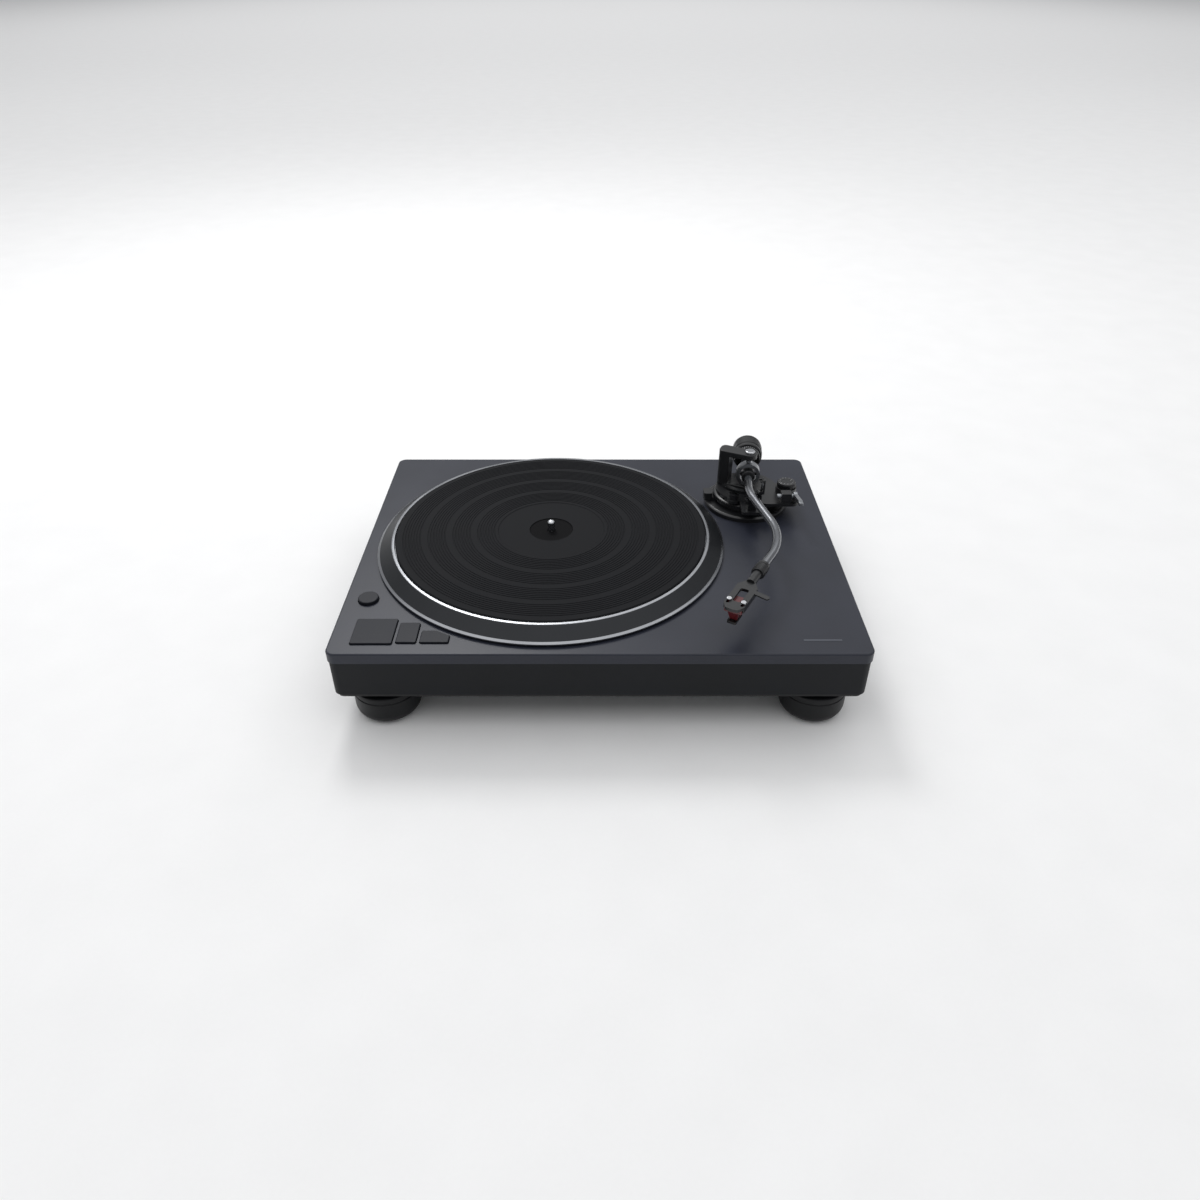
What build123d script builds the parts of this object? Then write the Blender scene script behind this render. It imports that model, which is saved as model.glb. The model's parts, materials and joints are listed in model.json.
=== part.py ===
from build123d import *
import os
from math import cos, hypot, radians, sin

# Direct-drive turntable record player. Millimetres, +Z up, x to the right, y to the back.
# The origin is on the floor, under the middle of the plinth.

os.makedirs("parts", exist_ok=True)

# ---------------------------------------------------------------- driving dimensions
PLINTH_W = 453.0
PLINTH_D = 350.0
PLINTH_CORNER_R = 8.0
BASE_Z = 35.0                 # underside of the bottom cover
CABINET_Z = 38.5              # bottom cover is 3.5 thick
SPLIT_Z = 73.0                # joint between cabinet and cast chassis
PANEL_Z = 78.0                # underside of the top panel
TOP_Z = 83.0                  # top of the plinth
WALL = 5.0

PLATTER_X = -47.0
PLATTER_R = 166.0
PLATTER_LIP_R = 150.8
PLATTER_RIM_Z = 84.5
PLATTER_TOP_Z = 96.2
MAT_FLOOR_Z = 93.4
MAT_R = 148.6
MAT_TOP_Z = 97.0
MAT_BORE_R = 4.2
LABEL_STEP_R = 52.0           # record label sits inside this circle
LABEL_STEP = 0.6
WELL_R = 21.0                 # shallow well round the spindle
WELL_DEPTH = 1.2
GROOVE_W = 1.2
SPINDLE_R = 3.6
SPINDLE_TIP_Z = 106.6
TIP_DROP = 2.4                # height of the rounded tip
TIP_ARC_R = (SPINDLE_R**2 + TIP_DROP**2) / (2 * TIP_DROP)

FOOT_X = 188.0
FOOT_Y = 144.0
FOOT_R = 29.0
FOOT_H = 33.5
FOOT_FLAT_R = 19.0            # flat that stands on the floor
FOOT_CURVE_R = 10.0
FOOT_CUP_TOP = 31.0
FOOT_SHOULDER_R = 3.0
FOOT_NECK_R = 12.0

PIVOT_X = 151.0
PIVOT_Y = 76.0
ARM_Z = 117.0                 # height of the arm tube's axis
EFFECTIVE_LENGTH = 232.0      # pivot to stylus
REST_ANGLE = 10.2             # pivot-to-stylus line at rest, from -Y towards -X
FIRST_LEG_ANGLE = 6.6         # first straight of the tube, same sense
HEAD_ANGLE = 29.0             # headshell axis, same sense
TUBE_R = 4.0
RUNNING = 0.06                # radial clearance of a running fit
SLIP = 0.05                   # radial clearance of a fixed fit
RING_GAP = 0.4                # radial clearance of the rings round the arm column

SCREW_R = 1.9
SCREW_HEAD_R = 3.5
SCREW_HEAD_H = 2.4
SCREW_BITE = 5.0              # how far a case screw reaches into the chassis
SCREW_SPOTS = [(x, y) for x in (-216, 216) for y in (-160, 0, 160)] + [(-90, -166), (90, -166)]


def save(piece, name):
    """Labels a finished piece and writes it."""
    piece.part.label = name
    export_step(piece.part, f"parts/{name}.step")


def heading(angle):
    """Unit vector in plan, turned by angle degrees from -Y towards -X."""
    return Vector(-sin(radians(angle)), -cos(radians(angle)), 0)


def ring(z, height, outer, inner, centre=(0, 0)):
    """A plain ring with its axis along Z."""
    with BuildPart() as piece:
        with BuildSketch(Plane.XY.offset(z)):
            with Locations(centre):
                Circle(outer)
                Circle(inner, mode=Mode.SUBTRACT)
        extrude(amount=height)
    return piece


def slab(z, height, x, y, width, depth, corner):
    """A plain rectangular slab, rounded in plan, centred on x, y."""
    with BuildPart() as piece:
        with BuildSketch(Plane.XY.offset(z)):
            with Locations((x, y)):
                RectangleRounded(width, depth, corner)
        extrude(amount=height)
    return piece


# ---------------------------------------------------------------- plinth
BOSS_R = 5.6
FOOT_BOSS_R = 14.0
FOOT_BOSS_TOP = 56.0
STUD_R = 4.0
CABINET_W = PLINTH_W - 2
CABINET_D = PLINTH_D - 2
CAVITY_CORNER_R = 3.0
WEB_W = 37.0
WEB_T = 6.0
OPENING_PLAY = 0.4            # terminal tray and inlet in their openings, across
OPENING_CORNER_R = 2.0
FEET = [(FOOT_X * sx, FOOT_Y * sy) for sx in (-1, 1) for sy in (-1, 1)]

TERMINAL_X = 12.0             # middle of the terminal recess in the back
TERMINAL_W = 120.0
TERMINAL_Z = 52.0
TERMINAL_H = 24.0
INLET_X = -140.0
INLET_W = 28.0
INLET_H = 20.0
BACK_Y = PLINTH_D / 2 - 1     # outer face of the cabinet's back wall

with BuildPart() as cabinet:
    with BuildSketch(Plane.XY.offset(CABINET_Z)):
        RectangleRounded(CABINET_W, CABINET_D, PLINTH_CORNER_R - 1)
        RectangleRounded(CABINET_W - 2 * WALL, CABINET_D - 2 * WALL, CAVITY_CORNER_R, mode=Mode.SUBTRACT)
    extrude(amount=SPLIT_Z - CABINET_Z)
    # four bosses that the feet screw into, each webbed to the nearest side wall
    with BuildSketch(Plane.XY.offset(CABINET_Z)):
        with Locations(*FEET):
            Circle(FOOT_BOSS_R)
        for x, y in FEET:
            with Locations((x * 1.1, y)):
                Rectangle(WEB_W, WEB_T)
    extrude(amount=FOOT_BOSS_TOP - CABINET_Z)
    with BuildSketch(Plane.XY.offset(CABINET_Z)):
        with Locations(*SCREW_SPOTS):
            Circle(BOSS_R)
    extrude(amount=SPLIT_Z - CABINET_Z)
    with BuildSketch(Plane.XY.offset(CABINET_Z)):
        with Locations(*FEET):
            Circle(STUD_R + RUNNING)
        with Locations(*SCREW_SPOTS):
            Circle(SCREW_R + SLIP)
    extrude(amount=SPLIT_Z - CABINET_Z, mode=Mode.SUBTRACT)
    # openings in the back wall for the terminals and the mains inlet
    with BuildSketch(Plane.XZ.offset(-(BACK_Y - WALL))):
        with Locations((TERMINAL_X, TERMINAL_Z)):
            RectangleRounded(TERMINAL_W + OPENING_PLAY, TERMINAL_H + OPENING_PLAY, OPENING_CORNER_R)
        with Locations((INLET_X, TERMINAL_Z)):
            RectangleRounded(INLET_W + OPENING_PLAY, INLET_H + OPENING_PLAY, OPENING_CORNER_R)
    extrude(amount=-WALL - 1, mode=Mode.SUBTRACT)
save(cabinet, "cabinet")

COVER_INSET = 3.0             # cover's edge inside the plinth's
VENT_SPOT = (-165, 60)
VENTS = 9
VENT_PITCH = 7.0
VENT_L = 34.0
VENT_W = 3.0

with BuildPart() as bottom_cover:
    with BuildSketch(Plane.XY.offset(BASE_Z)):
        RectangleRounded(PLINTH_W - 2 * COVER_INSET, PLINTH_D - 2 * COVER_INSET, PLINTH_CORNER_R - 2)
        with Locations(*FEET):
            Circle(STUD_R + 1, mode=Mode.SUBTRACT)
        with Locations(*SCREW_SPOTS):
            Circle(SCREW_R + SLIP, mode=Mode.SUBTRACT)
        with Locations(VENT_SPOT):
            with GridLocations(VENT_PITCH, 0, VENTS, 1):
                SlotOverall(VENT_L, VENT_W, rotation=90, mode=Mode.SUBTRACT)
    extrude(amount=CABINET_Z - BASE_Z)
save(bottom_cover, "bottom_cover")

# Push buttons: centre and size of each outline.
START_STOP = (-190.5, -145.0)
START_STOP_SIZE = (35.0, 34.0)
SPEED_33 = (-161.5, -147.0)
SPEED_45 = (-138.0, -152.5)
SPEED_33_SIZE = (17.0, 27.0)
SPEED_45_SIZE = (24.0, 16.0)
POWER = (-205.0, -98.0)
POWER_R = 9.0
BUTTON_GAP = 0.5
BUTTON_CORNER_R = 1.5
PLATTER_CLEAR_R = 170.5       # buttons are cut back to this circle round the platter

RIM_W = WALL + 2              # solid edge of the chassis outside its cavity
TOP_EDGE_R = 1.6
KEYS = {
    "start_stop_button": (START_STOP, START_STOP_SIZE),
    "speed_33_button": (SPEED_33, SPEED_33_SIZE),
    "speed_45_button": (SPEED_45, SPEED_45_SIZE),
}

MOTOR_HOLE_R = 64.0
ARM_HOLE_R = 24.5
STRIP = (186.0, -156.0)
STRIP_SIZE = (32.0, 2.2)
STRIP_DEPTH = 0.5
STRIP_RISE = 0.2


def button_outline(centre, size, grow=0.0):
    """Sketch of a rectangular button, cut back along the platter's edge."""
    with Locations(centre):
        RectangleRounded(size[0] + 2 * grow, size[1] + 2 * grow, BUTTON_CORNER_R + grow)
    with Locations((PLATTER_X, 0)):
        Circle(PLATTER_CLEAR_R - grow, mode=Mode.SUBTRACT)


with BuildPart() as chassis:
    with BuildSketch(Plane.XY.offset(SPLIT_Z)):
        RectangleRounded(PLINTH_W, PLINTH_D, PLINTH_CORNER_R)
    extrude(amount=TOP_Z - SPLIT_Z)
    fillet(chassis.faces().sort_by(Axis.Z)[-1].edges(), TOP_EDGE_R)
    with BuildSketch(Plane.XY.offset(SPLIT_Z)):
        RectangleRounded(PLINTH_W - 2 * RIM_W, PLINTH_D - 2 * RIM_W, CAVITY_CORNER_R)
        with Locations(*SCREW_SPOTS):
            Circle(BOSS_R, mode=Mode.SUBTRACT)
    extrude(amount=PANEL_Z - SPLIT_Z, mode=Mode.SUBTRACT)
    with BuildSketch(Plane.XY.offset(SPLIT_Z)):
        with Locations(*SCREW_SPOTS):
            Circle(SCREW_R + SLIP)
    extrude(amount=SCREW_BITE + 1, mode=Mode.SUBTRACT)
    with BuildSketch(Plane.XY.offset(PANEL_Z)):
        with Locations((PLATTER_X, 0)):
            Circle(MOTOR_HOLE_R)
        with Locations((PIVOT_X, PIVOT_Y)):
            Circle(ARM_HOLE_R)
        with Locations(POWER):
            Circle(POWER_R + BUTTON_GAP)
    extrude(amount=TOP_Z - PANEL_Z, mode=Mode.SUBTRACT)
    for centre, size in KEYS.values():
        with BuildSketch(Plane.XY.offset(PANEL_Z)):
            button_outline(centre, size, BUTTON_GAP)
        extrude(amount=TOP_Z - PANEL_Z, mode=Mode.SUBTRACT)
    with BuildSketch(Plane.XY.offset(TOP_Z - STRIP_DEPTH)):
        with Locations(STRIP):
            Rectangle(*STRIP_SIZE)
    extrude(amount=STRIP_DEPTH, mode=Mode.SUBTRACT)
save(chassis, "chassis")

save(slab(TOP_Z - STRIP_DEPTH, STRIP_DEPTH + STRIP_RISE, *STRIP, *STRIP_SIZE, corner=0.2), "trim_strip")

with BuildPart() as case_screws:
    with BuildSketch(Plane.XY.offset(BASE_Z - SCREW_HEAD_H)):
        with Locations(*SCREW_SPOTS):
            Circle(SCREW_HEAD_R)
    extrude(amount=SCREW_HEAD_H)
    with BuildSketch(Plane.XY.offset(BASE_Z)):
        with Locations(*SCREW_SPOTS):
            Circle(SCREW_R)
    extrude(amount=SPLIT_Z + SCREW_BITE - BASE_Z)
save(case_screws, "case_screws")

# Feet: a rounded cup on a threaded stud that screws up into the cabinet.
STUD_TOP = FOOT_BOSS_TOP - 2
for foot_name, (foot_x, foot_y) in zip(("left_front", "left_rear", "right_front", "right_rear"), FEET):
    with BuildPart() as foot:
        with BuildSketch(Plane.XZ):
            with BuildLine():
                Line((0, 0), (FOOT_FLAT_R, 0))
                RadiusArc((FOOT_FLAT_R, 0), (FOOT_R, FOOT_CURVE_R), -FOOT_CURVE_R)
                Line((FOOT_R, FOOT_CURVE_R), (FOOT_R, FOOT_CUP_TOP - FOOT_SHOULDER_R))
                RadiusArc((FOOT_R, FOOT_CUP_TOP - FOOT_SHOULDER_R), (FOOT_R - FOOT_SHOULDER_R, FOOT_CUP_TOP),
                          -FOOT_SHOULDER_R)
                Line((FOOT_R - FOOT_SHOULDER_R, FOOT_CUP_TOP), (FOOT_NECK_R, FOOT_CUP_TOP))
                Polyline((FOOT_NECK_R, FOOT_CUP_TOP), (FOOT_NECK_R, FOOT_H), (STUD_R, FOOT_H),
                         (STUD_R, STUD_TOP), (0, STUD_TOP), (0, 0))
            make_face()
        revolve(axis=Axis.Z)
    foot.part = foot.part.moved(Location((foot_x, foot_y, 0)))
    save(foot, f"foot_{foot_name}")

# ---------------------------------------------------------------- buttons and their board
CAP_TOP = TOP_Z + 1.6
CAP_EDGE_R = 0.6
POWER_CAP_TOP = TOP_Z + 3.0
POWER_EDGE_R = 1.0
FLANGE_Z = 75.4
FLANGE_H = 2.2
FLANGE_W = 1.1                # keeps a key from coming out through the panel
POWER_FLANGE_W = 2.0
STEM_R = 3.0
STEM_Z = 71.8
SWITCH_TOP = 70.0
SWITCH_W = 6.0
SWITCH_BODY_H = 5.0
PLUNGER_R = 1.7
BOARD_Z = 60.4
BOARD_T = 1.6
BOARD_TOP = BOARD_Z + BOARD_T

for button_name, (centre, size) in KEYS.items():
    with BuildPart() as button:
        with BuildSketch(Plane.XY.offset(FLANGE_Z)):
            button_outline(centre, size)
        extrude(amount=CAP_TOP - FLANGE_Z)
        fillet(button.faces().sort_by(Axis.Z)[-1].edges(), CAP_EDGE_R)
        with BuildSketch(Plane.XY.offset(FLANGE_Z)):
            button_outline(centre, size, FLANGE_W)
        extrude(amount=FLANGE_H)
        with BuildSketch(Plane.XY.offset(STEM_Z)):
            with Locations(centre):
                Circle(STEM_R)
        extrude(amount=FLANGE_Z - STEM_Z)
    save(button, button_name)

with BuildPart() as power_button:
    with BuildSketch(Plane.XY.offset(FLANGE_Z)):
        with Locations(POWER):
            Circle(POWER_R)
    extrude(amount=POWER_CAP_TOP - FLANGE_Z)
    fillet(power_button.faces().sort_by(Axis.Z)[-1].edges(), POWER_EDGE_R)
    with BuildSketch(Plane.XY.offset(FLANGE_Z)):
        with Locations(POWER):
            Circle(POWER_R + POWER_FLANGE_W)
    extrude(amount=FLANGE_H)
    with BuildSketch(Plane.XY.offset(STEM_Z)):
        with Locations(POWER):
            Circle(STEM_R)
    extrude(amount=FLANGE_Z - STEM_Z)
save(power_button, "power_button")

with BuildPart() as control_board:
    with BuildSketch(Plane.XY.offset(BOARD_Z)):
        with Locations((-163, -145)):
            Rectangle(92, 40)
        with Locations((-197, -105)):
            Rectangle(24, 42)
    extrude(amount=BOARD_T)
    # a connector, a chip and a capacitor
    with BuildSketch(Plane.XY.offset(BOARD_TOP)):
        with Locations((-176, -128.5)):
            Rectangle(14, 5)
        with Locations((-150, -130)):
            Rectangle(9, 9)
        with Locations((-126, -132)):
            Circle(4)
    extrude(amount=3)
save(control_board, "control_board")

with BuildPart() as button_switches:
    with BuildSketch(Plane.XY.offset(BOARD_TOP)):
        with Locations(START_STOP, SPEED_33, SPEED_45, POWER):
            Rectangle(SWITCH_W, SWITCH_W)
    extrude(amount=SWITCH_BODY_H)
    with BuildSketch(Plane.XY.offset(BOARD_TOP + SWITCH_BODY_H)):
        with Locations(START_STOP, SPEED_33, SPEED_45, POWER):
            Circle(PLUNGER_R)
    extrude(amount=SWITCH_TOP - BOARD_TOP - SWITCH_BODY_H)
save(button_switches, "button_switches")

# ---------------------------------------------------------------- platter and direct-drive motor
SPIN = Axis((PLATTER_X, 0, 0), (0, 0, 1))
SPIN_PLANE = Plane(origin=(PLATTER_X, 0, 0), x_dir=(1, 0, 0), z_dir=(0, -1, 0))
PAN_FLOOR_Z = 60.0
PAN_T = 3.0
PAN_R = 69.0
PAN_FLANGE_R = 77.0
PAN_FLANGE_T = 2.0
YOKE_Z = 83.2
YOKE_T = 2.0
YOKE_R = 59.5
MAGNET_Z = 72.4
MAGNET_R = (38.0, 58.0)
HUB_FLANGE_R = 12.0
HUB_FLANGE_Z = (81.5, 84.1)
WEB_Z = 90.0                  # underside of the platter's web
YOKE_PAD_Z = 85.2             # pads under the web that the rotor is screwed to
SPINDLE_FOOT_Z = 50.05
LABEL_PIN_R = 3.9             # spindle where it passes through the mat
JOURNAL_R = 4.0
HOUSING_R = 9.0
PAN_BORE_R = HOUSING_R + SLIP
HOUSING_BORE_R = 6.5
HUB_R = 4.3                   # spindle where it carries the platter
HUB_BORE_R = HUB_R + SLIP

with BuildPart() as platter:
    with BuildSketch(SPIN_PLANE):
        with BuildLine():
            Polyline(
                (HUB_BORE_R, MAT_FLOOR_Z), (MAT_R + 0.4, MAT_FLOOR_Z), (MAT_R + 0.8, PLATTER_TOP_Z),
                (PLATTER_LIP_R, PLATTER_TOP_Z), (PLATTER_R - 1.2, PLATTER_RIM_Z + 2.4),
                (PLATTER_R, PLATTER_RIM_Z + 1.6), (PLATTER_R, PLATTER_RIM_Z),
                (PLATTER_R - 6, PLATTER_RIM_Z), (PLATTER_R - 20, WEB_Z), (60, WEB_Z), (60, YOKE_PAD_Z),
                (40, YOKE_PAD_Z), (40, WEB_Z), (16, WEB_Z), (HUB_FLANGE_R, HUB_FLANGE_Z[1]),
                (HUB_BORE_R, HUB_FLANGE_Z[1]), close=True,
            )
        make_face()
    revolve(axis=SPIN)
save(platter, "platter")

GROOVE_RADII = [56 + 8.0 * n for n in range(11)]

with BuildPart() as mat:
    with BuildSketch(SPIN_PLANE):
        with BuildLine():
            Polyline((MAT_BORE_R, MAT_FLOOR_Z), (MAT_R, MAT_FLOOR_Z), (MAT_R, MAT_TOP_Z - 0.8),
                     (MAT_R - 0.8, MAT_TOP_Z), (LABEL_STEP_R, MAT_TOP_Z),
                     (LABEL_STEP_R - 0.8, MAT_TOP_Z - LABEL_STEP), (WELL_R, MAT_TOP_Z - LABEL_STEP),
                     (WELL_R - 0.6, MAT_TOP_Z - WELL_DEPTH), (MAT_BORE_R, MAT_TOP_Z - WELL_DEPTH), close=True)
        make_face()
        for radius in GROOVE_RADII:
            with Locations((radius, MAT_TOP_Z)):
                Rectangle(GROOVE_W, GROOVE_W, mode=Mode.SUBTRACT)
    revolve(axis=SPIN)
save(mat, "mat")

with BuildPart() as spindle:
    with BuildSketch(SPIN_PLANE):
        with BuildLine():
            Polyline((0, SPINDLE_FOOT_Z), (JOURNAL_R, SPINDLE_FOOT_Z), (JOURNAL_R, HUB_FLANGE_Z[0]),
                     (HUB_FLANGE_R, HUB_FLANGE_Z[0]), (HUB_FLANGE_R, HUB_FLANGE_Z[1]),
                     (HUB_R, HUB_FLANGE_Z[1]), (HUB_R, MAT_FLOOR_Z), (LABEL_PIN_R, MAT_FLOOR_Z),
                     (LABEL_PIN_R, MAT_TOP_Z - 0.8), (SPINDLE_R, MAT_TOP_Z),
                     (SPINDLE_R, SPINDLE_TIP_Z - TIP_DROP))
            RadiusArc((SPINDLE_R, SPINDLE_TIP_Z - TIP_DROP), (0, SPINDLE_TIP_Z), -TIP_ARC_R)
            Line((0, SPINDLE_TIP_Z), (0, SPINDLE_FOOT_Z))
        make_face()
    revolve(axis=SPIN)
save(spindle, "spindle")

save(ring(YOKE_Z, YOKE_T, YOKE_R, HUB_FLANGE_R + 2, (PLATTER_X, 0)), "rotor_yoke")
save(ring(MAGNET_Z, YOKE_Z - MAGNET_Z, MAGNET_R[1], MAGNET_R[0], (PLATTER_X, 0)), "rotor_magnet")

with BuildPart() as motor_pan:
    with BuildSketch(SPIN_PLANE):
        with BuildLine():
            Polyline((PAN_BORE_R, PAN_FLOOR_Z), (PAN_R, PAN_FLOOR_Z), (PAN_R, PANEL_Z - PAN_FLANGE_T),
                     (PAN_FLANGE_R, PANEL_Z - PAN_FLANGE_T), (PAN_FLANGE_R, PANEL_Z),
                     (PAN_R - PAN_T, PANEL_Z), (PAN_R - PAN_T, PAN_FLOOR_Z + PAN_T),
                     (PAN_BORE_R, PAN_FLOOR_Z + PAN_T), close=True)
        make_face()
    revolve(axis=SPIN)
save(motor_pan, "motor_pan")

MOTOR_SCREWS = 3
MOTOR_SCREW_R = 3.0
MOTOR_SCREW_H = 2.2
with BuildPart() as motor_screws:
    with BuildSketch(Plane.XY.offset(PANEL_Z - PAN_FLANGE_T - MOTOR_SCREW_H)):
        with Locations((PLATTER_X, 0)):
            with PolarLocations((PAN_R + PAN_FLANGE_R) / 2, MOTOR_SCREWS):
                Circle(MOTOR_SCREW_R)
    extrude(amount=MOTOR_SCREW_H)
save(motor_screws, "motor_screws")

with BuildPart() as stator_board:
    with BuildSketch(Plane.XY.offset(PAN_FLOOR_Z + PAN_T)):
        with Locations((PLATTER_X, 0)):
            Circle(62)
            Circle(22, mode=Mode.SUBTRACT)
    extrude(amount=BOARD_T)
save(stator_board, "stator_board")

COILS = 9
COIL_RING_R = 45.0
COIL_H = 6.0
with BuildPart() as stator_coils:
    with BuildSketch(Plane.XY.offset(PAN_FLOOR_Z + PAN_T + BOARD_T)):
        with Locations((PLATTER_X, 0)):
            with PolarLocations(COIL_RING_R, COILS):
                RectangleRounded(25, 24, 5)
                RectangleRounded(11, 10, 2, mode=Mode.SUBTRACT)
    extrude(amount=COIL_H)
save(stator_coils, "stator_coils")

HOUSING_FOOT_Z = 43.0
HOUSING_TOP_Z = 80.8
HOUSING_FLANGE_T = 3.0
BUSH_H = 10.0
BUSH_Z = (50.5, 70.0)
BALL_R = 3.0
CAP_T = 3.0

with BuildPart() as bearing_housing:
    with BuildSketch(SPIN_PLANE):
        with BuildLine():
            Polyline((HOUSING_BORE_R, HOUSING_FOOT_Z), (HOUSING_R, HOUSING_FOOT_Z),
                     (HOUSING_R, PAN_FLOOR_Z - HOUSING_FLANGE_T), (20, PAN_FLOOR_Z - HOUSING_FLANGE_T),
                     (20, PAN_FLOOR_Z), (HOUSING_R, PAN_FLOOR_Z), (HOUSING_R, HOUSING_TOP_Z),
                     (HOUSING_BORE_R, HOUSING_TOP_Z), close=True)
        make_face()
    revolve(axis=SPIN)
save(bearing_housing, "bearing_housing")

with BuildPart() as bearing_bushes:
    for bush_z in BUSH_Z:
        with BuildSketch(Plane.XY.offset(bush_z)):
            with Locations((PLATTER_X, 0)):
                Circle(HOUSING_BORE_R)
                Circle(JOURNAL_R + RUNNING / 2, mode=Mode.SUBTRACT)
        extrude(amount=BUSH_H)
save(bearing_bushes, "bearing_bushes")

with BuildPart() as thrust_ball:
    with Locations((PLATTER_X, 0, SPINDLE_FOOT_Z - SLIP - BALL_R)):
        Sphere(BALL_R)
save(thrust_ball, "thrust_ball")

with BuildPart() as bearing_cap:
    with BuildSketch(Plane.XY.offset(HOUSING_FOOT_Z - CAP_T)):
        with Locations((PLATTER_X, 0)):
            Circle(HOUSING_R)
    extrude(amount=CAP_T)
    with BuildSketch(Plane.XY.offset(HOUSING_FOOT_Z)):
        with Locations((PLATTER_X, 0)):
            Circle(HOUSING_BORE_R - 0.03)
    extrude(amount=1)
save(bearing_cap, "bearing_cap")

# ---------------------------------------------------------------- power supply and terminals
TRANSFORMER = (-168, 62)
TRANSFORMER_BASE_T = 4.0
REAR_BOARD_Z = 44.0

with BuildPart() as transformer:
    with BuildSketch(Plane.XY.offset(CABINET_Z)):
        with Locations(TRANSFORMER):
            Rectangle(62, 52)
    extrude(amount=TRANSFORMER_BASE_T)
    # laminated core, and the winding that stands out of it front and back
    with BuildSketch(Plane.XY.offset(CABINET_Z + TRANSFORMER_BASE_T)):
        with Locations(TRANSFORMER):
            RectangleRounded(54, 34, 4)
    extrude(amount=28)
    with BuildSketch(Plane.XY.offset(CABINET_Z + TRANSFORMER_BASE_T + 6)):
        with Locations(TRANSFORMER):
            Rectangle(30, 50)
    extrude(amount=18)
save(transformer, "transformer")

with BuildPart() as power_board:
    with BuildSketch(Plane.XY.offset(REAR_BOARD_Z)):
        with Locations((-84, 128)):
            Rectangle(78, 62)
    extrude(amount=BOARD_T)
    with BuildSketch(Plane.XY.offset(REAR_BOARD_Z + BOARD_T)):
        with Locations((-112, 142), (-92, 142), (-112, 118)):
            Circle(7)
    extrude(amount=22)
    with BuildSketch(Plane.XY.offset(REAR_BOARD_Z + BOARD_T)):
        with Locations((-68, 120)):
            Rectangle(6, 40)
    extrude(amount=18)
save(power_board, "power_board")

with BuildPart() as phono_board:
    with BuildSketch(Plane.XY.offset(REAR_BOARD_Z)):
        with Locations((20, 133)):
            Rectangle(96, 46)
    extrude(amount=BOARD_T)
    with BuildSketch(Plane.XY.offset(REAR_BOARD_Z + BOARD_T)):
        with Locations((0, 130), (20, 130), (40, 130)):
            Circle(4)
        with Locations((58, 138)):
            Rectangle(10, 8)
    extrude(amount=10)
save(phono_board, "phono_board")

TRAY_BACK_Y = 160.0           # inner face of the terminal tray's back plate
TRAY_T = 2.0
JACKS = [(-32.0, 52.0), (-14.0, 52.0), (10.0, 52.0), (28.0, 52.0)]
JACK_R = 4.15
JACK_NECK_R = 3.9
JACK_FOOT_Y = 162.5           # where the barrel starts, clear of the tray's face
EARTH = (52.0, 52.0)
SWITCH_SLOT = (64.0, 52.0)
JACK_TIP_Y = 173.0
JACK_BASE_Y = 154.0
JACK_BASE_R = 6.0
JACK_BORE_R = 1.6
JACK_BORE_DEPTH = 9.0
EARTH_POST_R = 2.0
EARTH_KNOB_R = 5.2
EARTH_KNOB_H = 8.0
EARTH_TRAVEL = 1.5            # gap under the knob when it is backed off

with BuildPart() as terminal_panel:
    with BuildSketch(Plane.XZ.offset(-(TRAY_BACK_Y))):
        with Locations((TERMINAL_X, TERMINAL_Z)):
            RectangleRounded(TERMINAL_W, TERMINAL_H, 2)
    extrude(amount=-(BACK_Y - 1 - TRAY_BACK_Y))
    with BuildSketch(Plane.XZ.offset(-(TRAY_BACK_Y + TRAY_T))):
        with Locations((TERMINAL_X, TERMINAL_Z)):
            RectangleRounded(TERMINAL_W - 3, TERMINAL_H - 3, 1.5)
    extrude(amount=-20, mode=Mode.SUBTRACT)
    with BuildSketch(Plane.XZ.offset(-(TRAY_BACK_Y))):
        with Locations(*JACKS):
            Circle(JACK_R + SLIP)
        with Locations(EARTH):
            Circle(EARTH_POST_R + SLIP)
        with Locations(SWITCH_SLOT):
            Rectangle(4, 12)
    extrude(amount=-TRAY_T, mode=Mode.SUBTRACT)
save(terminal_panel, "terminal_panel")

with BuildPart() as phono_jacks:
    with BuildSketch(Plane.XZ.offset(-JACK_BASE_Y)):
        with Locations(*JACKS):
            Circle(JACK_BASE_R)
    extrude(amount=-(TRAY_BACK_Y - JACK_BASE_Y))
    with BuildSketch(Plane.XZ.offset(-TRAY_BACK_Y)):
        with Locations(*JACKS):
            Circle(JACK_NECK_R)
    extrude(amount=-(JACK_FOOT_Y - TRAY_BACK_Y))
    with BuildSketch(Plane.XZ.offset(-JACK_FOOT_Y)):
        with Locations(*JACKS):
            Circle(JACK_R)
    extrude(amount=-(JACK_TIP_Y - JACK_FOOT_Y))
    with BuildSketch(Plane.XZ.offset(-(JACK_TIP_Y - JACK_BORE_DEPTH))):
        with Locations(*JACKS):
            Circle(JACK_BORE_R)
    extrude(amount=-JACK_BORE_DEPTH - 1, mode=Mode.SUBTRACT)
save(phono_jacks, "phono_jacks")

with BuildPart() as earth_post:
    with BuildSketch(Plane.XZ.offset(-156)):
        with Locations(EARTH):
            Circle(4)
    extrude(amount=-(TRAY_BACK_Y - 156))
    with BuildSketch(Plane.XZ.offset(-TRAY_BACK_Y)):
        with Locations(EARTH):
            Circle(EARTH_POST_R)
    extrude(amount=-12)
save(earth_post, "earth_post")

with BuildPart() as earth_knob:
    with BuildSketch(Plane.XZ.offset(-(TRAY_BACK_Y + TRAY_T + EARTH_TRAVEL))):
        with Locations(EARTH):
            RegularPolygon(EARTH_KNOB_R, 12)
            Circle(EARTH_POST_R + RUNNING, mode=Mode.SUBTRACT)
    extrude(amount=-EARTH_KNOB_H)
save(earth_knob, "earth_knob")

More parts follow.
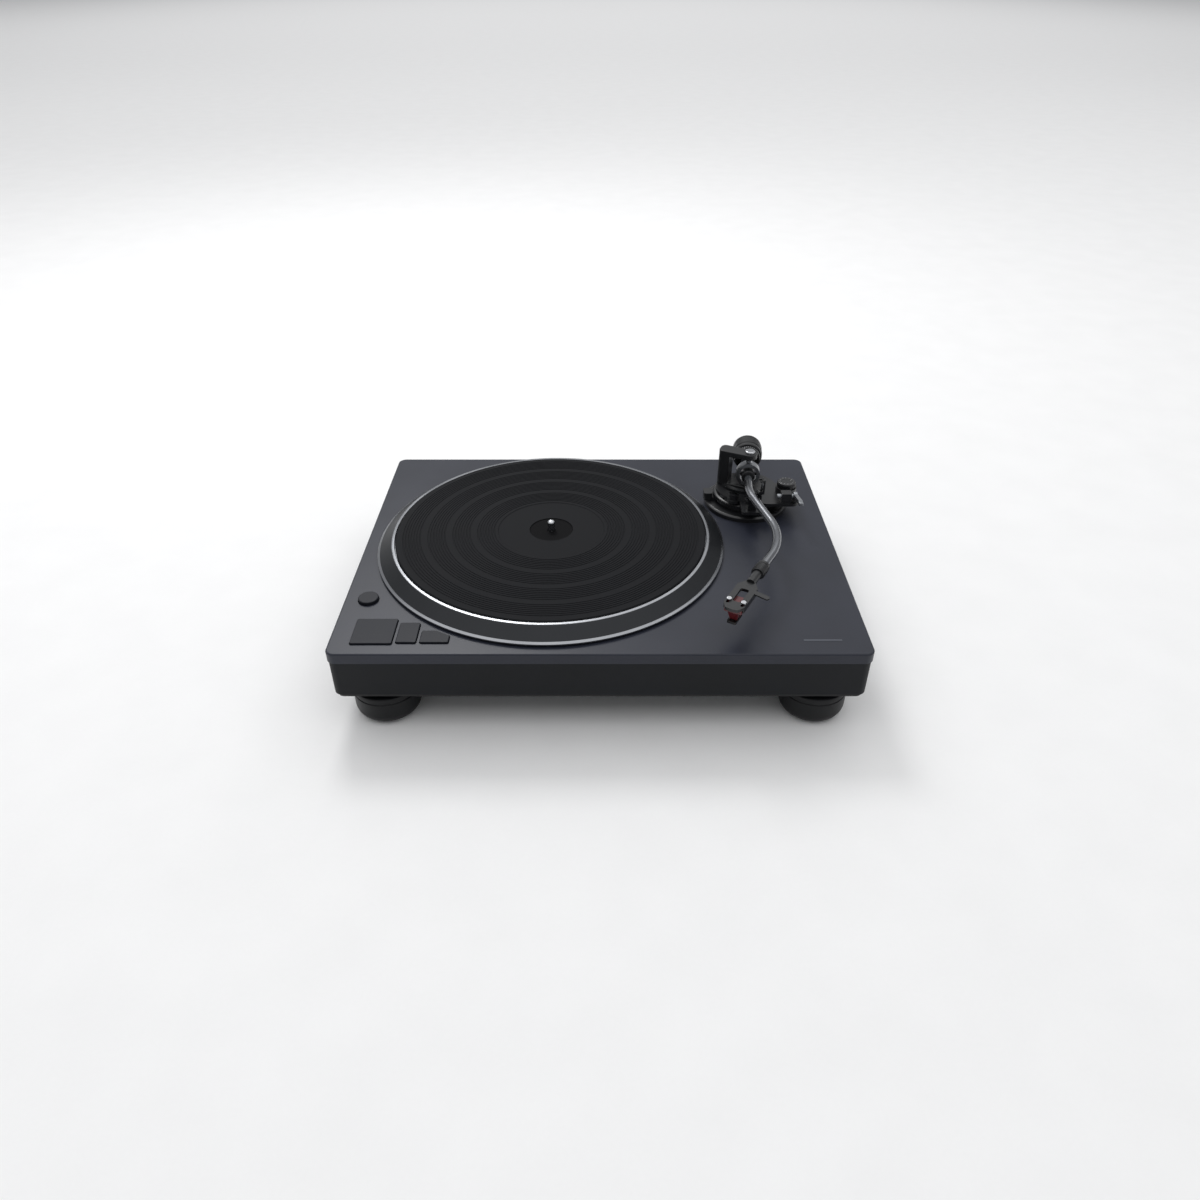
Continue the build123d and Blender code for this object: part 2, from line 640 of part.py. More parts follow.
with BuildPart() as equaliser_switch:
    with BuildSketch(Plane.XZ.offset(-156)):
        with Locations((SWITCH_SLOT[0], SWITCH_SLOT[1] - 2)):
            Rectangle(3.4, 7)
    extrude(amount=-9)
save(equaliser_switch, "equaliser_switch")

INLET_FRONT_Y = 146.0
INLET_FLOOR = 4.0
INLET_WALL = 2.5

with BuildPart() as ac_inlet:
    with BuildSketch(Plane.XZ.offset(-INLET_FRONT_Y)):
        with Locations((INLET_X, TERMINAL_Z)):
            RectangleRounded(INLET_W, INLET_H, OPENING_CORNER_R)
    extrude(amount=-(BACK_Y - INLET_FRONT_Y))
    with BuildSketch(Plane.XZ.offset(-(INLET_FRONT_Y + INLET_FLOOR))):
        with Locations((INLET_X, TERMINAL_Z)):
            RectangleRounded(INLET_W - 2 * INLET_WALL, INLET_H - 2 * INLET_WALL, 3)
    extrude(amount=-40, mode=Mode.SUBTRACT)
    with BuildSketch(Plane.XZ.offset(-(INLET_FRONT_Y + INLET_FLOOR))):
        with Locations((INLET_X - 5, TERMINAL_Z), (INLET_X + 5, TERMINAL_Z)):
            Rectangle(1.2, 4)
    extrude(amount=-14)
save(ac_inlet, "ac_inlet")

# ---------------------------------------------------------------- tonearm base
PIVOT = (PIVOT_X, PIVOT_Y)
COLUMN_R = 20.0
PLATFORM_Z = 98.5
PLATFORM_TOP = 101.5
PLATFORM_R = 31.5
RING_Z = 92.1
RING_R = 34.0
LOCK_Z = 88.8
LIFT_ANGLE = 33.0             # lift pillar, from -Y towards -X about the pivot
LIFT_RADIUS = 29.0
LIFT_PIN_R = 2.5
LIFT_PAD_Z = 112.4            # top of the lift pad when it is down
LIFT_PAD_HALF_W = 2.5
BASE_RING_R = 42.0
BASE_RING_T = 5.5
BASE_FOOT_Z = 62.0
COLUMN_FOOT_Z = 64.0
CABLE_HOLE_R = 9.0
LOCK_R = 31.0
RING_T = 6.0

with BuildPart() as arm_base:
    with BuildSketch(Plane.XY.offset(TOP_Z)):
        with Locations(PIVOT):
            Circle(BASE_RING_R)
            Circle(COLUMN_R + RUNNING, mode=Mode.SUBTRACT)
    extrude(amount=BASE_RING_T)
    chamfer(arm_base.faces().sort_by(Axis.Z)[-1].edges().sort_by(SortBy.LENGTH)[-1], 1.5)
    with BuildSketch(Plane.XY.offset(BASE_FOOT_Z)):
        with Locations(PIVOT):
            Circle(ARM_HOLE_R - 0.4)
            Circle(COLUMN_R + RUNNING, mode=Mode.SUBTRACT)
    extrude(amount=TOP_Z - BASE_FOOT_Z)
save(arm_base, "arm_base")

with BuildPart() as lock_lever:
    with BuildSketch(Plane.XY.offset(LOCK_Z)):
        with Locations(PIVOT):
            Circle(LOCK_R)
            Circle(COLUMN_R + RING_GAP, mode=Mode.SUBTRACT)
        with Locations((PIVOT_X - 36, PIVOT_Y)):
            RectangleRounded(16, 10, 2)
    extrude(amount=3)
    with BuildSketch(Plane.XY.offset(LOCK_Z)):
        with Locations((PIVOT_X - 39.5, PIVOT_Y)):
            RectangleRounded(8.5, 12, 2)
    extrude(amount=8)
save(lock_lever, "lock_lever")

KNURLS = 36
with BuildPart() as height_ring:
    with BuildSketch(Plane.XY.offset(RING_Z)):
        with Locations(PIVOT):
            Circle(RING_R)
            Circle(COLUMN_R + RING_GAP, mode=Mode.SUBTRACT)
            with PolarLocations(RING_R, KNURLS):
                Circle(0.9, mode=Mode.SUBTRACT)
    extrude(amount=RING_T)
save(height_ring, "height_ring")

lift_spot = Vector(*PIVOT) + heading(LIFT_ANGLE) * LIFT_RADIUS
REST_SPOT = (148.5, 30.0)     # where the tube crosses the arm rest
CUE_Y = PIVOT_Y - 30
CUE_Z = 107.0
CUE_PIN_R = 2.5
CUE_HUB_R = 4.5
CUE_LEVER_T = 4.0
ANTI_SKATE = (PIVOT_X + 38, PIVOT_Y - 12)
ANTI_SKATE_BOSS_R = 10.5
ANTI_SKATE_BOSS_H = 7.0
ANTI_SKATE_PIN_R = 3.0
DIAL_R = 9.5
DIAL_T = 5.5

with BuildPart() as arm_column:
    with BuildSketch(Plane.XY.offset(COLUMN_FOOT_Z)):
        with Locations(PIVOT):
            Circle(COLUMN_R)
    extrude(amount=PLATFORM_Z - COLUMN_FOOT_Z)
    with BuildSketch(Plane.XY.offset(PLATFORM_Z)):
        with Locations(PIVOT):
            Circle(PLATFORM_R)
        with Locations((lift_spot.X, lift_spot.Y)):
            Circle(7)
        with Locations((PIVOT_X + 29, PIVOT_Y - 14)):
            RectangleRounded(40, 44, 8)
        with Locations((REST_SPOT[0] + 1.5, REST_SPOT[1] + 6)):
            RectangleRounded(20, 26, 3)
    extrude(amount=PLATFORM_TOP - PLATFORM_Z)
    with BuildSketch(Plane.XY.offset(PLATFORM_TOP)):
        with Locations((lift_spot.X, lift_spot.Y)):
            Circle(5.4)
    extrude(amount=6)
    with BuildSketch(Plane.XY.offset(PLATFORM_TOP)):
        with Locations((PIVOT_X + 35, CUE_Y)):
            Rectangle(10, 9)
    extrude(amount=10)
    with BuildSketch(Plane.XY.offset(PLATFORM_TOP)):
        with Locations(ANTI_SKATE):
            Circle(ANTI_SKATE_BOSS_R)
            Circle(ANTI_SKATE_PIN_R, mode=Mode.SUBTRACT)
    extrude(amount=ANTI_SKATE_BOSS_H)
    with BuildSketch(Plane.YZ.offset(PIVOT_X + 29)):
        with Locations((CUE_Y, CUE_Z)):
            Circle(CUE_PIN_R + RUNNING)
    extrude(amount=12, mode=Mode.SUBTRACT)
    with BuildSketch(Plane.XY.offset(PLATFORM_TOP - 2.5)):
        with Locations((lift_spot.X, lift_spot.Y)):
            Circle(LIFT_PIN_R + RUNNING)
    extrude(amount=9, mode=Mode.SUBTRACT)
    with BuildSketch(Plane.XY.offset(COLUMN_FOOT_Z)):
        with Locations(PIVOT):
            Circle(CABLE_HOLE_R)
    extrude(amount=34, mode=Mode.SUBTRACT)
save(arm_column, "arm_column")

with BuildPart() as lifter:
    with BuildSketch(Plane.XY.offset(PLATFORM_TOP - 2)):
        with Locations((lift_spot.X, lift_spot.Y)):
            Circle(LIFT_PIN_R)
    extrude(amount=LIFT_PAD_Z - PLATFORM_TOP)
    with BuildSketch(Plane.XY.offset(LIFT_PAD_Z - 3)):
        with BuildLine():
            for radius in (LIFT_RADIUS - LIFT_PAD_HALF_W, LIFT_RADIUS + LIFT_PAD_HALF_W):
                CenterArc(PIVOT, radius, 270 - 62, 60)
            for angle in (2, 62):
                Line(Vector(*PIVOT) + heading(angle) * (LIFT_RADIUS - LIFT_PAD_HALF_W),
                     Vector(*PIVOT) + heading(angle) * (LIFT_RADIUS + LIFT_PAD_HALF_W))
        make_face()
    extrude(amount=3)
save(lifter, "lifter")

with BuildPart() as cue_lever:
    with BuildSketch(Plane.YZ.offset(PIVOT_X + 26)):
        with Locations((CUE_Y, CUE_Z)):
            Circle(CUE_PIN_R)
    extrude(amount=20)
    with BuildSketch(Plane.YZ.offset(PIVOT_X + 42)):
        with Locations((CUE_Y, CUE_Z)):
            Circle(CUE_HUB_R)
        with BuildLine():
            Polyline((CUE_Y, CUE_Z + 3), (CUE_Y - 24, CUE_Z + 9), (CUE_Y - 30, CUE_Z + 9),
                     (CUE_Y - 30, CUE_Z + 6), (CUE_Y - 24, CUE_Z + 5), (CUE_Y, CUE_Z - 3), close=True)
        make_face()
    extrude(amount=CUE_LEVER_T)
save(cue_lever, "cue_lever")

with BuildPart() as anti_skate_dial:
    with BuildSketch(Plane.XY.offset(PLATFORM_TOP + 0.6)):
        with Locations(ANTI_SKATE):
            Circle(ANTI_SKATE_PIN_R - RUNNING)
    extrude(amount=ANTI_SKATE_BOSS_H)
    with BuildSketch(Plane.XY.offset(PLATFORM_TOP + ANTI_SKATE_BOSS_H + 0.4)):
        with Locations(ANTI_SKATE):
            Circle(DIAL_R)
            with PolarLocations(DIAL_R, 24):
                Circle(0.5, mode=Mode.SUBTRACT)
    extrude(amount=DIAL_T)
save(anti_skate_dial, "anti_skate_dial")

# Arm rest: an open-sided cradle under the tube, with a clamp hinged on its outer wall.
REST_TURN = -11.5             # the tube's heading where it crosses the rest
rest_right = Vector(cos(radians(REST_TURN)), -sin(radians(REST_TURN)), 0)
CRADLE_Z = ARM_Z - TUBE_R - 0.5
CRADLE_T = 3.0
CRADLE_WALL_TOP = 116.8
CLAMP_AXIS_OFFSET = 7.6
CLAMP_AXIS_Z = 119.6
CLAMP_PIN_R = 1.0
rest_plane = Plane(origin=(*REST_SPOT, 0), x_dir=rest_right, z_dir=(0, 0, 1))
clamp_spot = Vector(*REST_SPOT, CLAMP_AXIS_Z) + rest_right * CLAMP_AXIS_OFFSET

with BuildPart() as arm_rest:
    with BuildSketch(rest_plane.offset(PLATFORM_TOP)):
        with Locations((1, 0)):
            RectangleRounded(9, 7, 1)
    extrude(amount=CRADLE_Z - CRADLE_T - PLATFORM_TOP)
    with BuildSketch(rest_plane.offset(CRADLE_Z - CRADLE_T)):
        with Locations((1.75, 0)):
            RectangleRounded(15.5, 7, 1)
    extrude(amount=CRADLE_T)
    with BuildSketch(rest_plane.offset(CRADLE_Z)):
        with Locations((7.35, 0)):
            Rectangle(4.1, 7)
    extrude(amount=CRADLE_WALL_TOP - CRADLE_Z)
    with BuildSketch(Plane(origin=clamp_spot, x_dir=rest_right, z_dir=heading(REST_TURN))):
        Circle(2.1)
        with Locations((0, -1.7)):
            Rectangle(4.2, 3.4)
        Circle(CLAMP_PIN_R + RUNNING, mode=Mode.SUBTRACT)
    extrude(amount=1.1, both=True)
save(arm_rest, "arm_rest")

# The clamp is drawn open: its bar stands up from the hinge.
with BuildPart() as arm_clamp:
    clamp_plane = Plane(origin=clamp_spot, x_dir=(0, 0, 1), z_dir=-heading(REST_TURN))
    with BuildSketch(clamp_plane):
        Circle(2.3)
        with BuildLine():
            Polyline((-1.2, 0), (-1.2, 4.2), (13.6, 4.2), (13.6, -1), (12.2, -1), (12.2, 2.4), (1.8, 2.4),
                     (1.8, 0), close=True)
        make_face()
    extrude(amount=3.4, both=True)
    with BuildSketch(clamp_plane):
        Rectangle(30, 4.6)
    extrude(amount=1.4, both=True, mode=Mode.SUBTRACT)
    with BuildSketch(clamp_plane):
        Circle(CLAMP_PIN_R)
    extrude(amount=3.4, both=True)
save(arm_clamp, "arm_clamp")

# ---------------------------------------------------------------- gimbal
PIN_R = 1.5
GIMBAL_R = 12.0
GIMBAL_WALL = 3.4
GIMBAL_HALF_L = 4.5
BLOCK_R = 6.6
BLOCK_HALF = 9.0
BRACKET_ANGLE = 115.0         # side wall of the bracket, from -Y towards -X
BRACKET_TOP = 140.0
BRACKET_OUT = 31.0            # outer face of the side wall, from the pivot
BRACKET_WALL = 12.0
BRACKET_W = 15.0
BRACKET_FOOT_T = 3.1
BRACKET_ARM_T = 5.5
BRACKET_CORNER_R = 5.0
PIVOT_SCREW_R = 3.0
PIVOT_SCREW_HEAD_R = 5.0
PIVOT_SCREW_HEAD_H = 2.5
bracket_dir = heading(BRACKET_ANGLE)
bracket_plane = Plane(origin=(*PIVOT, 0), x_dir=bracket_dir, z_dir=(0, 0, 1))

with BuildPart() as gimbal_bracket:
    for plate_z, plate_h in ((PLATFORM_TOP, BRACKET_FOOT_T), (BRACKET_TOP - BRACKET_ARM_T, BRACKET_ARM_T)):
        with BuildSketch(bracket_plane.offset(plate_z)):
            Circle(BRACKET_W / 2)
            with Locations((BRACKET_OUT / 2, 0)):
                Rectangle(BRACKET_OUT, BRACKET_W)
        extrude(amount=plate_h)
    with BuildSketch(bracket_plane.offset(PLATFORM_TOP)):
        with Locations((BRACKET_OUT - BRACKET_WALL / 2, 0)):
            Rectangle(BRACKET_WALL, BRACKET_W)
    extrude(amount=BRACKET_TOP - PLATFORM_TOP)
    fillet(gimbal_bracket.edges().filter_by(Axis.Z).sort_by_distance((*PIVOT, ARM_Z + 3))[-2:], BRACKET_CORNER_R)
    with BuildSketch(bracket_plane.offset(PLATFORM_TOP + 0.5)):
        Circle(PIN_R + RUNNING)
    extrude(amount=4, mode=Mode.SUBTRACT)
    with BuildSketch(bracket_plane.offset(BRACKET_TOP - 6)):
        Circle(PIVOT_SCREW_R + SLIP)
    extrude(amount=8, mode=Mode.SUBTRACT)
save(gimbal_bracket, "gimbal_bracket")

with BuildPart() as pivot_screw:
    with BuildSketch(Plane.XY.offset(ARM_Z + GIMBAL_R + 0.5)):
        with Locations(PIVOT):
            Circle(PIVOT_SCREW_R)
    extrude(amount=BRACKET_TOP - ARM_Z - GIMBAL_R - 0.5)
    with BuildSketch(Plane.XY.offset(BRACKET_TOP)):
        with Locations(PIVOT):
            Circle(PIVOT_SCREW_HEAD_R)
    extrude(amount=PIVOT_SCREW_HEAD_H)
    fillet(pivot_screw.faces().sort_by(Axis.Z)[-1].edges(), 1)
    with BuildSketch(Plane.XY.offset(ARM_Z + GIMBAL_R)):
        with Locations(PIVOT):
            Circle(PIN_R + RUNNING)
    extrude(amount=3, mode=Mode.SUBTRACT)
save(pivot_screw, "pivot_screw")

leg_dir = heading(FIRST_LEG_ANGLE)
arm_axis_plane = Plane(origin=(*PIVOT, ARM_Z), x_dir=(0, 0, 1), z_dir=leg_dir)
side_dir = heading(FIRST_LEG_ANGLE + 90)
side_plane = Plane(origin=(*PIVOT, ARM_Z), x_dir=(0, 0, 1), z_dir=side_dir)

with BuildPart() as gimbal_ring:
    with BuildSketch(arm_axis_plane):
        Circle(GIMBAL_R)
        Circle(GIMBAL_R - GIMBAL_WALL, mode=Mode.SUBTRACT)
    extrude(amount=GIMBAL_HALF_L, both=True)
    with BuildSketch(side_plane):
        Circle(PIN_R + RUNNING)
    extrude(amount=GIMBAL_R + 1, both=True, mode=Mode.SUBTRACT)
    for pin_z, pin_h in ((PLATFORM_TOP + 0.8, 3.4), (ARM_Z + GIMBAL_R - 0.6, 2.8)):
        with BuildSketch(Plane.XY.offset(pin_z)):
            with Locations(PIVOT):
                Circle(PIN_R)
        extrude(amount=pin_h)
save(gimbal_ring, "gimbal_ring")

with BuildPart() as pivot_block:
    with BuildSketch(arm_axis_plane):
        Circle(BLOCK_R)
    extrude(amount=BLOCK_HALF, both=True)
    fillet(pivot_block.edges().filter_by(GeomType.CIRCLE), 1.2)
    with BuildSketch(side_plane):
        Circle(PIN_R)
    extrude(amount=GIMBAL_R - 0.4, both=True)
save(pivot_block, "pivot_block")

# ---------------------------------------------------------------- arm tube and headshell
TUBE_WALL = 0.7
FIRST_BEND = 39.3             # corner of the tube's path, in front of the pivot
SECOND_BEND = 118.0           # corner of the tube's path, behind the stylus along the headshell
BEND_RADII = (70, 85)
NUT_FROM = 66.0               # rear face of the lock nut, behind the stylus
NUT_L = 15.0
NUT_R = 6.2
PLUG_FROM = 54.7
PLUG_L = 20.0
head_dir = heading(HEAD_ANGLE)
stylus_spot = Vector(*PIVOT, ARM_Z) + heading(REST_ANGLE) * EFFECTIVE_LENGTH
first_bend = Vector(*PIVOT, ARM_Z) + leg_dir * FIRST_BEND
second_bend = stylus_spot - head_dir * SECOND_BEND
TUBE_END = 55.0               # tube's end, behind the stylus along the headshell
tube_start = Vector(*PIVOT, ARM_Z) + leg_dir * BLOCK_HALF
tube_end = stylus_spot - head_dir * TUBE_END

with BuildPart() as arm_tube:
    with BuildLine() as tube_path:
        FilletPolyline(tube_start, first_bend, second_bend, tube_end, radius=BEND_RADII)
    with BuildSketch(Plane(origin=tube_start, z_dir=leg_dir)):
        Circle(TUBE_R)
        Circle(TUBE_R - TUBE_WALL, mode=Mode.SUBTRACT)
    sweep(path=tube_path.wire())
save(arm_tube, "arm_tube")


def head_plane(behind):
    """Plane square to the headshell axis, the given distance behind the stylus."""
    return Plane(origin=stylus_spot - head_dir * behind, x_dir=(0, 0, 1), z_dir=head_dir)


with BuildPart() as head_lock_nut:
    with BuildSketch(head_plane(NUT_FROM)):
        Circle(NUT_R)
        with PolarLocations(NUT_R, 16):
            Circle(0.45, mode=Mode.SUBTRACT)
        Circle(TUBE_R + RUNNING, mode=Mode.SUBTRACT)
    extrude(amount=NUT_L)
save(head_lock_nut, "head_lock_nut")

shell_plane = Plane(origin=stylus_spot, x_dir=head_dir, z_dir=(0, 0, 1))
PLATE_HALF_T = 1.4
CART_TOP = -PLATE_HALF_T      # heights here are from the tube's axis
CART_H = 13.0
CART_SHOULDER = 4.0
CART_PIN_R = 0.6
CART_SCREW_R = 1.25
CART_HEAD_R = 2.3
CART_HEAD_H = 1.8
CART_SCREW_SPOTS = [(-3.0, -6.35), (-3.0, 6.35)]
STYLUS_DROP = 18.1            # stylus tip below the tube's axis

with BuildPart() as headshell:
    with BuildSketch(head_plane(PLUG_FROM)):
        Circle(TUBE_R)
    extrude(amount=PLUG_L)
    with BuildSketch(shell_plane.offset(-PLATE_HALF_T)):
        with BuildLine():
            Polyline((-40, -4), (-36, -4), (-28, -9), (2, -9), (8, -5.5))
            RadiusArc((8, -5.5), (8, 5.5), -18)
            Polyline((8, 5.5), (2, 9), (-28, 9), (-36, 4), (-40, 4), (-40, -4))
        make_face()
        with Locations((-13, 0)):
            RectangleRounded(20, 7.4, 2, mode=Mode.SUBTRACT)
        with Locations(*CART_SCREW_SPOTS):
            SlotOverall(10, 2.7, mode=Mode.SUBTRACT)
    extrude(amount=2 * PLATE_HALF_T)
    # side rails and the finger lift
    with BuildSketch(shell_plane.offset(-4.6)):
        with Locations((-13, -8.4), (-13, 8.4)):
            Rectangle(30, 1.2)
    extrude(amount=4)
    with BuildSketch(shell_plane.offset(PLATE_HALF_T - 1.2)):
        with BuildLine():
            Polyline((-25, 8), (-20, 8), (-17.5, 21), (-20, 22.5), (-22.5, 21), close=True)
        make_face()
    extrude(amount=1.2)
save(headshell, "headshell")

with BuildPart() as cartridge:
    with BuildSketch(shell_plane.offset(CART_TOP)):
        with Locations((-5, 0)):
            RectangleRounded(19, 15.4, 1.2)
    extrude(amount=-CART_SHOULDER)
    with BuildSketch(shell_plane.offset(CART_TOP - CART_SHOULDER)):
        with Locations((-5, 0)):
            RectangleRounded(18, 10, 1.2)
    with BuildSketch(shell_plane.offset(CART_TOP - CART_H)):
        with Locations((-6, 0)):
            RectangleRounded(14, 7, 1.2)
    loft()
    with BuildSketch(head_plane(12)):
        with Locations(*[(z, y) for z in (CART_TOP - 6, CART_TOP - 10) for y in (-2.2, 2.2)]):
            Circle(CART_PIN_R)
    extrude(amount=-7)
    with BuildSketch(shell_plane.offset(CART_TOP)):
        with Locations(*CART_SCREW_SPOTS):
            Circle(CART_SCREW_R + SLIP)
    extrude(amount=-CART_SHOULDER, mode=Mode.SUBTRACT)
save(cartridge, "cartridge")

with BuildPart() as cartridge_screws:
    with BuildSketch(shell_plane.offset(CART_TOP - 3)):
        with Locations(*CART_SCREW_SPOTS):
            Circle(CART_SCREW_R)
    extrude(amount=3 + 2 * PLATE_HALF_T)
    with BuildSketch(shell_plane.offset(PLATE_HALF_T)):
        with Locations(*CART_SCREW_SPOTS):
            Circle(CART_HEAD_R)
    extrude(amount=CART_HEAD_H)
save(cartridge_screws, "cartridge_screws")

with BuildPart() as stylus:
    with BuildSketch(shell_plane.offset(CART_TOP - CART_H - 0.1)):
        with Locations((-3, 0)):
            RectangleRounded(15, 8, 1)
    extrude(amount=-2.2)
    with BuildSketch(Plane(origin=stylus_spot + Vector(0, 0, -STYLUS_DROP), z_dir=(0, 0, 1))):
        Circle(0.35)
    extrude(amount=2)
save(stylus, "stylus")

# ---------------------------------------------------------------- tail and counterweight
tail_dir = -leg_dir


def tail_plane(distance):
    """Plane square to the tail shaft, the given distance behind the pivot."""
    return Plane(origin=Vector(*PIVOT, ARM_Z) + tail_dir * distance, x_dir=(0, 0, 1), z_dir=tail_dir)


SHAFT_R = 4.4
SLEEVE_R = 6.6
WEIGHT_FROM = 36.0
WEIGHT_L = 23.0
WEIGHT_R = 15.5
WEIGHT_EDGE_R = 2.0
SHAFT_L = 58.0
FORCE_DIAL_R = 13.5
FORCE_DIAL_L = 5.0
FORCE_DIAL_GAP = 0.4

with BuildPart() as tail_shaft:
    with BuildSketch(tail_plane(BLOCK_HALF)):
        Circle(SHAFT_R)
    extrude(amount=SHAFT_L)
save(tail_shaft, "tail_shaft")

with BuildPart() as weight_sleeve:
    with BuildSketch(tail_plane(WEIGHT_FROM - 6)):
        Circle(SLEEVE_R)
        Circle(SHAFT_R + RUNNING, mode=Mode.SUBTRACT)
    extrude(amount=WEIGHT_L + 7)
save(weight_sleeve, "weight_sleeve")

with BuildPart() as counterweight:
    with BuildSketch(tail_plane(WEIGHT_FROM)):
        Circle(WEIGHT_R)
    extrude(amount=WEIGHT_L)
    fillet(counterweight.edges().filter_by(GeomType.CIRCLE), WEIGHT_EDGE_R)
    with BuildSketch(tail_plane(WEIGHT_FROM)):
        Circle(SLEEVE_R + RUNNING)
    extrude(amount=WEIGHT_L, mode=Mode.SUBTRACT)
save(counterweight, "counterweight")

with BuildPart() as force_dial:
    with BuildSketch(tail_plane(WEIGHT_FROM - FORCE_DIAL_L - FORCE_DIAL_GAP)):
        Circle(FORCE_DIAL_R)
        with PolarLocations(FORCE_DIAL_R, 30):
            Circle(0.5, mode=Mode.SUBTRACT)
        Circle(SLEEVE_R + RUNNING, mode=Mode.SUBTRACT)
    extrude(amount=FORCE_DIAL_L)
save(force_dial, "force_dial")

to_spindle = hypot(PIVOT_X - PLATTER_X, PIVOT_Y)
print("pivot to spindle", round(to_spindle, 2), "overhang", round(EFFECTIVE_LENGTH - to_spindle, 2))
print("stylus at", stylus_spot, "clamp axis at", clamp_spot, "lift pillar at", lift_spot)
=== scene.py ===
import json
from math import cos, pi, radians, sin

import bmesh
import bpy
from mathutils import Matrix, Vector


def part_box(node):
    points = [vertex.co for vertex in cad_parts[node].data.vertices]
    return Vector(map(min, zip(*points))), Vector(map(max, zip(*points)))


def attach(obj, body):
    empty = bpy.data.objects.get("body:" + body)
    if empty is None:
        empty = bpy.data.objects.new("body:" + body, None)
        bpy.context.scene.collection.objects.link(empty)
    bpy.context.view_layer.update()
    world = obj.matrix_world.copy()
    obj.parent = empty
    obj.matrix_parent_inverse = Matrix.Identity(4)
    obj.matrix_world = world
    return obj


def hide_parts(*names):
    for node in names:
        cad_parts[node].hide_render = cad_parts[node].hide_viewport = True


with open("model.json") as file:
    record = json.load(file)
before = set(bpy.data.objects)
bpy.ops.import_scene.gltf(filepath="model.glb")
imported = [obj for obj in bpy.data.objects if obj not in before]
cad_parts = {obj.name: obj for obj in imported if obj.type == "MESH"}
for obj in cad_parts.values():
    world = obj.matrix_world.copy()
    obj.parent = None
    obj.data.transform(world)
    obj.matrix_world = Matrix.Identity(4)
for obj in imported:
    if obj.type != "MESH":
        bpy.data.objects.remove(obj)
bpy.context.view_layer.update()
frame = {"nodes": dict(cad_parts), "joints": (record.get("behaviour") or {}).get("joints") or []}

# A direct-drive record player. Lengths are written in millimetres and turned to metres by MM.
MM = 0.001
SHARP_ANGLE = 32                         # faces that meet at more than this keep a hard edge
ROUNDED_ANGLE = 38                       # edges sharper than this get a small rounding
CLEAR_COAT_ROUGHNESS = 0.12


# ------------------------------------------------------------------ places taken from the frame
def joint(name):
    """The joint of that name in the frame."""
    return next(j for j in frame["joints"] if j["name"] == name)


def spot(name):
    """A hinge's place, as a vector in metres."""
    return Vector(joint(name)["pos_m"])


def axis(name):
    """A joint's axis, as a unit vector."""
    return Vector(joint(name)["axis"]).normalized()


def seat(origin, up, side=None):
    """Matrix that puts a piece drawn round local Z at origin, with its Z along up and its X near side."""
    z = up.normalized()
    guide = side if side is not None else (Vector((1, 0, 0)) if abs(z.x) < 0.9 else Vector((0, 1, 0)))
    x = (guide - z * guide.dot(z)).normalized()
    y = z.cross(x)
    return Matrix.Translation(origin) @ Matrix((x, y, z)).transposed().to_4x4()


UP = Vector((0, 0, 1))
PIVOT = spot("tonearm_swing")
LEG = -axis("counterweight_turn")        # the arm's first straight points this way
HEAD = axis("headshell_pull")
NUT_SPOT = spot("head_lock_nut_turn")
NUT_TO_STYLUS = 58 * MM
STYLUS = NUT_SPOT + HEAD * NUT_TO_STYLUS
PLATTER_AXIS = Vector((spot("platter_spin").x, 0, 0))
DECK_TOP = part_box("chassis")[1].z
SPIN_SEAT = Matrix.Translation(PLATTER_AXIS)
PIVOT_SEAT = Matrix.Translation(Vector((PIVOT.x, PIVOT.y, 0)))


# ------------------------------------------------------------------ materials
def linear(hexcode):
    """An sRGB hex colour as linear RGBA."""
    parts = [int(hexcode[n:n + 2], 16) / 255 for n in (0, 2, 4)]
    return tuple(c / 12.92 if c <= 0.04045 else ((c + 0.055) / 1.055) ** 2.4 for c in parts) + (1.0,)


def add(tree, kind, settings=None, links=None):
    """Adds one node: settings are attributes or input values, links are input name to output socket."""
    made = tree.nodes.new(kind)
    for key, value in (settings or {}).items():
        if isinstance(key, int) or key in made.inputs:
            made.inputs[key].default_value = value
        else:
            setattr(made, key, value)
    for key, socket in (links or {}).items():
        tree.links.new(socket, made.inputs[key])
    return made


